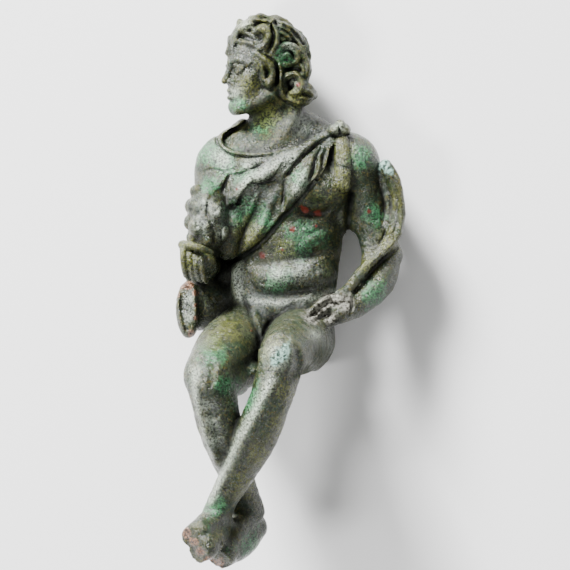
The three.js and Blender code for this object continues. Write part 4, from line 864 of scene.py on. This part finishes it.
def skin(clay):
    """Surface nets: one point in each grid cube that the surface crosses, at the mean of its
    crossings of the cube's edges, and one four-sided face round each grid edge that it crosses."""
    inside = clay.value < 0
    corners = [inside[a:a - 1 or None, b:b - 1 or None, c:c - 1 or None]
               for a in (0, 1) for b in (0, 1) for c in (0, 1)]
    solid = np.sum(corners, axis=0, dtype=np.uint8)
    active = (solid > 0) & (solid < 8)
    cubes = np.argwhere(active)
    number = np.full(active.shape, -1, np.int32)
    number[active] = np.arange(len(cubes))

    place = np.zeros((len(cubes), 3))
    crossings = np.zeros(len(cubes))
    faces = []
    for axis in range(3):
        u, v = (axis + 1) % 3, (axis + 2) % 3
        unit = np.eye(3, dtype=int)
        for offset in (0 * unit[u], unit[u], unit[v], unit[u] + unit[v]):
            a = cubes + offset
            b = a + unit[axis]
            value_a, value_b = clay.value[tuple(a.T)], clay.value[tuple(b.T)]
            crossed = (value_a < 0) != (value_b < 0)
            share = np.where(crossed, value_a / np.where(crossed, value_a - value_b, 1), 0)
            place += crossed[:, None] * (a + share[:, None] * unit[axis])
            crossings += crossed
        start = inside[tuple(slice(None, -1) if n == axis else slice(None) for n in range(3))]
        end = inside[tuple(slice(1, None) if n == axis else slice(None) for n in range(3))]
        edges = np.argwhere(start != end)
        ring = [edges, edges - unit[u], edges - unit[u] - unit[v], edges - unit[v]]
        quads = np.column_stack([number[tuple(cube.T)] for cube in ring])
        leaving = start[tuple(edges.T)]
        faces.append(np.where(leaving[:, None], quads, quads[:, ::-1]))
    return clay.low + CELL * place / crossings[:, None], np.vstack(faces)


def vertex_normals(points, faces):
    across = np.cross(points[faces[:, 2]] - points[faces[:, 0]], points[faces[:, 3]] - points[faces[:, 1]])
    normals = np.zeros_like(points)
    for n in range(4):
        np.add.at(normals, faces[:, n], across)
    return normals / np.maximum(np.linalg.norm(normals, axis=1, keepdims=True), 1e-9)


def make_object(name, points, faces):
    mesh = bpy.data.meshes.new(name)
    mesh.vertices.add(len(points))
    mesh.vertices.foreach_set("co", points.astype(np.float32).ravel())
    mesh.loops.add(faces.size)
    mesh.loops.foreach_set("vertex_index", faces.astype(np.int32).ravel())
    mesh.polygons.add(len(faces))
    mesh.polygons.foreach_set("loop_start", np.arange(0, faces.size, faces.shape[1], dtype=np.int32))
    mesh.update(calc_edges=True)
    mesh.validate()
    made = bpy.data.objects.new(name, mesh)
    bpy.context.scene.collection.objects.link(made)
    return made


def thin_out(piece, limit):
    """Collapses the shortest, flattest edges until the triangles are under a limit."""
    triangles = sum(len(p.vertices) - 2 for p in piece.data.polygons)
    if triangles <= limit:
        return
    thinning = piece.modifiers.new("thinning", "DECIMATE")
    thinning.ratio = limit / triangles
    reduced = bpy.data.meshes.new_from_object(piece.evaluated_get(bpy.context.evaluated_depsgraph_get()))
    piece.modifiers.clear()
    piece.data = reduced


def blurred(solid, radius):
    """A moving mean over a cube of the given radius in grid steps, made one axis at a time."""
    for axis in range(3):
        padded = np.pad(solid, [(radius + 1, radius) if n == axis else (0, 0) for n in range(3)], mode="edge")
        running = np.cumsum(padded, axis=axis, dtype=np.float32)
        width = 2 * radius + 1
        high = np.take(running, np.arange(width, running.shape[axis]), axis=axis)
        low = np.take(running, np.arange(0, running.shape[axis] - width), axis=axis)
        solid = (high - low) / width
    return solid


def sampled(grid, clay, points):
    """The values of a grid at points, blended linearly between its eight nearest corners."""
    place = (points - clay.low) / CELL
    corner = np.clip(np.floor(place).astype(int), 0, clay.count - 2)
    t = place - corner
    total = np.zeros(len(points))
    for n in range(8):
        step = np.array([n & 1, n >> 1 & 1, n >> 2])
        weight = np.prod(np.where(step, t, 1 - t), axis=1)
        total += weight * grid[tuple((corner + step).T)]
    return total


cut_flats(faun)
points, faces = skin(faun)
normals = vertex_normals(points, faces)
for _ in range(2):
    points = points - normals * sampled(faun.value, faun, points)[:, None]
rough = 0.06 * lattice_noise(points, 2.0, 10) + 0.06 * lattice_noise(points, 1.0, 3)
rough = rough + 0.035 * lattice_noise(points, 0.5, 4)
behind_face = (points - HEAD[:3, 3]) @ HEAD[:3, :3] * [0, 1, 1] @ [0, -1.0, 1.0] < -0.5
in_hair = behind_face & (points[:, 1] > 33)
rough = rough + in_hair * 0.13 * lattice_noise(points, 0.75, 11)
pits = np.maximum(lattice_noise(points, 0.8, 5) - 0.45, 0) * 0.3
off_flats = (np.abs(normals[:, 2] + 1) > 0.02) | (points[:, 2] > 0.1)
points = points + normals * ((rough - pits) * off_flats)[:, None]
statuette = make_object("statuette", (points - ORIGIN) / 1000, faces)
thin_out(statuette, FACE_LIMIT)
statuette.data.shade_smooth()

# The bronze
# A copper-tin alloy under a natural patina: near-black green, with malachite in patches, worn to
# olive on the edges, with dusty grey in the hollows and bare copper at the breaks. Painted shade
# darkens the deep recesses and creases, and pale rubbed spots also carry a painted highlight.

occupied = np.clip(0.5 - faun.value / CELL, 0, 1).astype(np.float32)
final_points = np.empty(len(statuette.data.vertices) * 3, np.float32)
statuette.data.vertices.foreach_get("co", final_points)
final_points = final_points.reshape(-1, 3) * 1000 + ORIGIN

EDGE_SIZE = 0.6
HOLLOW_SIZE = 1.6
DEEP_SHADE_SIZE = 3.2


def add_measure(name, values):
    measure = statuette.data.attributes.new(name, "FLOAT", "POINT")
    measure.data.foreach_set("value", values.astype(np.float32))


def filled(size):
    """The share of metal in a cube of the given half width about each point of the surface."""
    return sampled(blurred(occupied, round(size / CELL)), faun, final_points)


def patches(spots, ragged=0.35):
    """Patches on the front at [x, y, radius], or along curves through such places: 1 at the middle,
    falling as a Gaussian of the distance, which noise makes ragged."""
    wander = 1 + ragged * lattice_noise(final_points, 0.9, 8) + ragged * lattice_noise(final_points, 2.3, 9)
    share = np.zeros(len(final_points))
    for spot in spots:
        for x, y, radius in curve(spot, 8) if isinstance(spot[0], list) else [spot]:
            away = np.hypot(final_points[:, 0] - x, final_points[:, 1] - y) * wander
            share = np.maximum(share, np.exp(-(away / radius) ** 2))
    return share


MALACHITE = [
    [-14.9, 24.2, 3.0], [-11.6, 22.1, 3.0], [-7.9, 13.3, 3.2], [-4.9, 11.6, 2.6], [1.8, 19.3, 2.0],
    [12.3, 23.3, 2.4], [1.8, 8.4, 3.6], [-2.1, 1.4, 2.6], [-4.9, 28.7, 2.0], [-9.1, 32.4, 2.0],
    [-13, -11.2, 2.8], [14.4, -1.1, 2.4], [-11.4, -17, 2.0], [14.5, 12.8, 2.2], [-7, -19.6, 2.4],
    [-1.4, 40.8, 2.0], [-14, 18, 2.0], [-7.7, 19.8, 2.4], [-6.7, -45, 2.4], [-13.1, -38, 2.0],
]
OLIVE = [
    [-10.9, -7.4, 2.6], [-13.1, -9.1, 2.4], [-2.5, -10.9, 2.4], [0, -18.7, 2.4], [-1.4, -24, 2.6],
    [-4.9, -29.3, 2.6], [-7.9, -34.5, 2.6], [-15.9, -24.9, 1.8], [-14.9, -29.3, 1.8], [9.3, 24.2, 2.2],
    [9.3, 18.9, 2.2], [19.3, 15.4, 2.2], [17.5, 7.5, 2.4], [14, 4, 2.2], [-17.5, 7.2, 2.2],
    [-17.9, 4.6, 2.0], [-7.5, 35.2, 2.6], [-4.4, 39.9, 2.0], [-8.2, 46.1, 1.8], [-4.4, 45.6, 1.8],
    [-7, 9.3, 3.0], [-0.9, 6.7, 2.4], [-4.4, 29.8, 2.2], [0.9, 34.3, 2.2],
]
DUST = [
    [-13.5, -20.5, 1.8], [-13, -24, 1.6], [-12.4, -27.5, 1.5], [2.1, 27.2, 3.0], [-0.9, 22.8, 2.0],
    [-4.9, 21.9, 2.4], [-7.9, 41.3, 2.4], [-10, 38.5, 1.6], [-6.7, 43.4, 2.0], [1.8, 3.2, 3.6],
    [-6.1, -2.1, 2.6], [-8.8, 1.4, 2.0], [-4.9, -5.6, 1.8], [-10.2, 15.4, 2.2], [-11.4, 11.9, 2.2],
    [-14.9, 12.8, 2.4], [0, -2.1, 2.6], [5.3, 27.7, 2.4], [17.5, 14.5, 1.6], [13.7, 6.7, 1.6],
    [-5.3, 16.8, 2.4], [-12.3, -3, 2.2], [-17.2, -0.7, 1.6], [-18.2, -3, 1.6],
]
CRUST = [[-1.8, -11.6, 1.5], [-2.5, -12.6, 1.2], [-0.9, -10.7, 1.1], [16.6, 21.7, 1.2], [17.3, 20.7, 1.0]]
PALE = [
    [9.6, -2.5, 1.9], [7.4, -2.1, 1.9], [5.6, -3.5, 1.9], [3.9, -5.1, 1.7], [7, -5.1, 1.5],
]
COPPER = [
    [-17.9, -42.4, 1.0], [-16.6, -44, 1.0], [-15.6, -45.7, 1.0], [-14.2, -47.3, 1.1], [-12.3, -48, 1.1],
    [-19.1, 0.7, 1.0], [-17.7, 0.5, 0.8], [-16.7, -0.9, 0.6], [-16.6, -3, 0.5], [-16.6, -5.3, 0.5],
    [-17.3, -8.1, 0.9], [-19.8, -1.2, 0.6],
]
CUPRITE = [
    [-9.3, 17.3, 0.45], [-4.9, 5.6, 0.6], [0.4, 10.3, 0.6], [2.6, 13.7, 0.8], [4.9, 13.3, 0.6],
    [14, 13.5, 0.5], [-1.4, 6.7, 0.3], [1.4, 35.7, 0.5], [-3, 20.3, 0.4], [4.6, 10.9, 0.35],
    [-1.6, -11.7, 0.2], [-6.7, -7.4, 0.3],
]
# Spots rubbed pale: partly real wear, partly a painted highlight where ridges face the key light.
RUBBED_AND_HIGHLIGHT = [
    [-11.9, 22.8, 1.5], [-7, 21.5, 1.3], [2.5, 19.3, 1.2], [1.4, 17.3, 1.2], [-2.1, 2.3, 1.5],
    [1.8, 3, 1.2], [-2.3, -11.9, 1.8], [-14.2, -20, 1.0], [-13.7, -23.1, 1.1], [-13.1, -26.6, 1.0],
    [8.6, 28.4, 1.1], [-17.7, -2.1, 1.1], [-17.7, -4.9, 0.9], [-9.6, 34.3, 1.0], [1.8, 28.6, 1.4],
    [-4.9, -45, 1.2], [-14.9, 14.5, 1.2], [-15.8, 11, 1.2], [-13, 13.3, 1.0], [-11.9, 9.6, 0.9],
    [4.4, -8.2, 1.0], [-7.9, 46.3, 1.0], [0.5, 35.7, 0.8], [0, 42.2, 0.8],
    [[0.4, 23.1, 0.9], [-3, 21, 1.3], [-5.3, 19.8, 1.3], [-7.7, 18.4, 1.0], [-9.1, 16.5, 0.7]],
    [[-8.8, 4.6, 0.6], [-9.5, 2.3, 0.9], [-9.1, -0.7, 0.8]],
    [[-3.2, -15.8, 0.9], [-5.6, -20.3, 0.8], [-8.4, -25.2, 0.8], [-11.2, -30.8, 0.8], [-13.8, -37.1, 0.6]],
    [[-16.5, -14.4, 1.0], [-16.5, -17.9, 0.6], [-15.4, -23.1, 0.4], [-13.7, -29.3, 0.4]],
    [[-9.1, -1.6, 0.5], [-6.1, -2.3, 0.5], [-1.8, -2.6, 0.5], [3.9, -1.8, 0.5], [7.9, -0.4, 0.4]],
]
DULL = [
    [-4.9, 30.5, 2.4], [-3.2, 32.2, 2.0], [-4.6, 27.7, 2.2], [-0.7, 31.5, 1.8], [-7.9, 28.4, 1.4],
    [10.5, 16.3, 1.6], [10.3, 13.3, 1.6], [10.2, 10.5, 1.4], [4.4, 15.8, 2.4], [1.8, 14, 1.4],
    [7.9, 8.4, 1.8], [8.2, 4, 1.6], [8.2, 0.5, 1.4], [-3.2, -4.2, 2.0], [0.4, -4, 1.8],
    [-5.6, -6.7, 1.4], [5.3, -11.7, 2.4], [2.5, -14.7, 1.8], [-7.7, -10, 2.2], [-8.8, -13.7, 2.0],
    [-0.9, 44.2, 2.6], [2.1, 40.8, 2.4], [3.2, 37.3, 1.8], [1.2, 32.6, 2.2], [-9.1, -38.9, 1.8],
    [-10.2, -42.4, 1.6], [-10.9, 0.5, 2.0], [16.6, 14.5, 1.6], [-14, -2.1, 2.2], [-3.9, 47.7, 1.4],
]
near, wide, deep_shade = filled(EDGE_SIZE), filled(HOLLOW_SIZE), filled(DEEP_SHADE_SIZE)
# The last two measures mark creases and deep recesses; the bronze paints them near-black as shade.
add_measure("edge", np.clip((0.46 - near) * 6, 0, 1))
add_measure("crevice_shade", np.clip((near - 0.55) * 6, 0, 1))
add_measure("hollow", np.clip((wide - 0.5) * 4, 0, 1))
add_measure("deep_shade", np.clip((deep_shade - 0.52) * 5, 0, 1))
for name, spots, ragged in [
    ("malachite", MALACHITE, 0.35), ("olive", OLIVE, 0.35), ("dust", DUST, 0.3), ("crust", CRUST, 0.3),
    ("pale", PALE, 0.3), ("copper", COPPER, 0.25), ("cuprite", CUPRITE, 0.5), ("rubbed_and_highlight", RUBBED_AND_HIGHLIGHT, 0.2),
    ("dull", DULL, 0.3),
]:
    add_measure(name, patches(spots, ragged))


def linear(hex_colour):
    """An sRGB hex colour as linear RGBA."""
    parts = [int(hex_colour[n:n + 2], 16) / 255 for n in (1, 3, 5)]
    return [c / 12.92 if c <= 0.04045 else ((c + 0.055) / 1.055) ** 2.4 for c in parts] + [1.0]


def add_node(tree, kind, inputs=None, **settings):
    """Adds a node with its settings. An input is a value, or a socket that feeds it."""
    node = tree.nodes.new(kind)
    for name, value in settings.items():
        setattr(node, name, value)
    for name, value in (inputs or {}).items():
        if isinstance(value, bpy.types.NodeSocket):
            tree.links.new(value, node.inputs[name])
        else:
            node.inputs[name].default_value = value
    return node


def patinated_bronze():
    material = bpy.data.materials.new("patinated_bronze")
    material.use_nodes = True
    tree = material.node_tree
    tree.nodes.clear()
    place = add_node(tree, "ShaderNodeTexCoord").outputs["Object"]

    def noise(size_mm, detail=2.0, roughness=0.6, distortion=0.0):
        inputs = {"Vector": place, "Scale": 1000 / size_mm, "Detail": detail, "Roughness": roughness,
                  "Distortion": distortion}
        return add_node(tree, "ShaderNodeTexNoise", inputs).outputs["Fac"]

    def ramp(fac, low, high):
        inputs = {"Value": fac, "From Min": low, "From Max": high}
        return add_node(tree, "ShaderNodeMapRange", inputs, interpolation_type="SMOOTHSTEP").outputs["Result"]

    def blend(share, one, other):
        inputs = {0: share, 6: one, 7: other}
        return add_node(tree, "ShaderNodeMix", inputs, data_type="RGBA").outputs[2]

    def maths(operation, *values):
        return add_node(tree, "ShaderNodeMath", dict(enumerate(values)), operation=operation).outputs[0]

    def measure(name):
        return add_node(tree, "ShaderNodeAttribute", attribute_name=name).outputs["Fac"]

    # A patch shows where its measure, shifted by the grain, passes a half.
    def shown(name, grain, spread=0.5, keenness=0.12):
        shifted = maths("MULTIPLY_ADD", maths("SUBTRACT", grain, 0.5), spread, measure(name))
        return ramp(shifted, 0.5 - keenness, 0.5 + keenness)

    fine, middle, coarse = noise(0.36, 3.0, 0.75), noise(1.1, 3.0, 0.6), noise(3.6, 3.0)
    colour = blend(ramp(fine, 0.43, 0.58), linear("#050703"), linear("#313c20"))
    colour = blend(maths("MULTIPLY", ramp(coarse, 0.5, 0.6), 0.6), colour, linear("#122a18"))
    colour = blend(maths("MULTIPLY", ramp(noise(2.6, 3.0), 0.54, 0.64), 0.5), colour, linear("#3a3a17"))
    colour = blend(maths("MULTIPLY", ramp(noise(0.5, 2.0), 0.58, 0.64), 0.6), colour, linear("#5c5326"))
    green = blend(ramp(fine, 0.43, 0.58), linear("#0b2714"), linear("#3d8052"))
    colour = blend(maths("MULTIPLY", shown("malachite", middle, 1.4, 0.3), 0.8), colour, green)
    olive = blend(ramp(fine, 0.43, 0.58), linear("#141906"), linear("#5d6126"))
    colour = blend(maths("MULTIPLY", shown("olive", middle, 1.4, 0.3), 0.8), colour, olive)
    worn = maths("MULTIPLY", measure("edge"), ramp(noise(0.7), 0.4, 0.62))
    colour = blend(maths("MULTIPLY", worn, 0.45), colour, linear("#615f38"))
    # Pale silvery green on the rubbed spots: partly real rubbing, partly a painted highlight.
    rubbed_highlight_colour = blend(ramp(fine, 0.4, 0.56), linear("#242d22"), linear("#b3bdab"))
    colour = blend(maths("MULTIPLY", measure("rubbed_and_highlight"), 0.75), colour, rubbed_highlight_colour)
    film = blend(ramp(fine, 0.43, 0.58), linear("#161817"), linear("#64696c"))
    settled = maths("MULTIPLY", measure("hollow"), ramp(coarse, 0.5, 0.65))
    dusty = maths("MULTIPLY", measure("dust"), ramp(noise(0.6), 0.4, 0.6))
    greyed = maths("MULTIPLY_ADD", settled, 0.3, maths("MULTIPLY", dusty, 0.6))
    colour = blend(greyed, colour, film)
    # Painted shade: the deep recesses and the narrow creases are darkened to near-black, where shadow falls.
    colour = blend(maths("MULTIPLY", measure("deep_shade"), 0.9), colour, linear("#060805"))
    colour = blend(maths("MULTIPLY", measure("crevice_shade"), 0.85), colour, linear("#060805"))
    colour = blend(shown("cuprite", fine, 1.0, 0.2), colour, linear("#5a2013"))
    bare = blend(ramp(fine, 0.43, 0.58), linear("#2e1c12"), linear("#8c6a52"))
    colour = blend(shown("copper", fine, 0.9, 0.2), colour, bare)
    pale = blend(ramp(noise(0.6, 3.0), 0.42, 0.58), linear("#2f2e27"), linear("#8b8a80"))
    colour = blend(shown("pale", middle, 0.5, 0.3), colour, pale)
    crust = blend(ramp(noise(0.6, 3.0), 0.4, 0.58), linear("#27372f"), linear("#8fafa3"))
    colour = blend(shown("crust", middle, 0.9, 0.25), colour, crust)

    encrusted = maths("MAXIMUM", shown("pale", middle, 0.5, 0.3), shown("crust", middle, 0.9, 0.25))
    matt = maths("MAXIMUM", measure("dull"), maths("MAXIMUM", encrusted, measure("deep_shade")))
    gloss = maths("MULTIPLY_ADD", ramp(middle, 0.35, 0.7), 0.26, 0.14)
    gloss = maths("MULTIPLY_ADD", matt, 0.4, gloss)
    shine = maths("MULTIPLY_ADD", matt, -0.5, 0.65)
    metal = maths("MULTIPLY", worn, 0.6)
    grain = maths("ADD", maths("MULTIPLY", middle, 0.8), fine)
    bump = add_node(tree, "ShaderNodeBump", {"Height": grain, "Strength": 0.8, "Distance": 0.0003})
    shader = add_node(tree, "ShaderNodeBsdfPrincipled", {
        "Base Color": colour, "Metallic": metal, "Roughness": gloss, "Specular IOR Level": shine,
        "Normal": bump.outputs["Normal"],
    })
    output = add_node(tree, "ShaderNodeOutputMaterial")
    tree.links.new(shader.outputs["BSDF"], output.inputs["Surface"])
    return material


statuette.data.materials.append(patinated_bronze())
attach(statuette, "root")
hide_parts("faun")

# The table, the light and the camera
# The statuette lies on its back on a pale table. The camera looks straight down on it.

TABLE_SIZE = 3.0
TABLE_DROP = 0.0002


def pale_paint():
    material = bpy.data.materials.new("pale_paint")
    material.use_nodes = True
    shader = material.node_tree.nodes["Principled BSDF"]
    shader.inputs["Base Color"].default_value = linear("#f7f7f7")
    shader.inputs["Roughness"].default_value = 0.9
    return material


half = TABLE_SIZE / 2
corners = np.array([[-half, -half], [half, -half], [half, half], [-half, half]])
table = make_object("table", np.column_stack([corners, np.full(4, -TABLE_DROP)]), np.array([[0, 1, 2, 3]]))
table.data.materials.append(pale_paint())

# A white tent overhead, open and dark towards the table's edge.
world = bpy.data.worlds.new("studio")
world.use_nodes = True
tent = world.node_tree
direction = add_node(tent, "ShaderNodeTexCoord").outputs["Generated"]
upwards = add_node(tent, "ShaderNodeSeparateXYZ", {"Vector": direction}).outputs["Z"]
glow = add_node(tent, "ShaderNodeMapRange", {
    "Value": upwards, "From Min": 0.0, "From Max": 0.9, "To Min": 0.1, "To Max": 0.7,
}).outputs["Result"]
tent.links.new(glow, tent.nodes["Background"].inputs["Strength"])
tent.nodes["Background"].inputs["Color"].default_value = linear("#ffffff")
bpy.context.scene.world = world


def softbox(name, place, size, power):
    """A square area light that faces the statuette's middle."""
    light = bpy.data.lights.new(name, "AREA")
    light.size = size
    light.energy = power
    lamp = bpy.data.objects.new(name, light)
    lamp.location = place
    towards = np.array([0, 0, 0.02]) - np.array(place)
    distance = math.sqrt(float(towards @ towards))
    lamp.rotation_euler = (
        math.acos(-towards[2] / distance), 0, math.atan2(towards[1], towards[0]) - math.pi / 2
    )
    bpy.context.scene.collection.objects.link(lamp)


softbox("key_light", (-0.45, 0.85, 0.45), 0.3, 60.0)
softbox("front_light", (-0.6, -0.25, 0.7), 0.2, 8.0)

CAMERA_HEIGHT = 1.5
PHOTO_SPAN = 0.0999
MIDDLE = (-0.91, 0.64)
SUBJECT_HEIGHT = 0.015
camera_data = bpy.data.cameras.new("camera")
camera_data.sensor_width = 36
camera_data.lens = 36 * (CAMERA_HEIGHT - SUBJECT_HEIGHT) / PHOTO_SPAN
camera = bpy.data.objects.new("camera", camera_data)
camera.location = (MIDDLE[0] / 1000, MIDDLE[1] / 1000, CAMERA_HEIGHT)
bpy.context.scene.collection.objects.link(camera)
bpy.context.scene.camera = camera
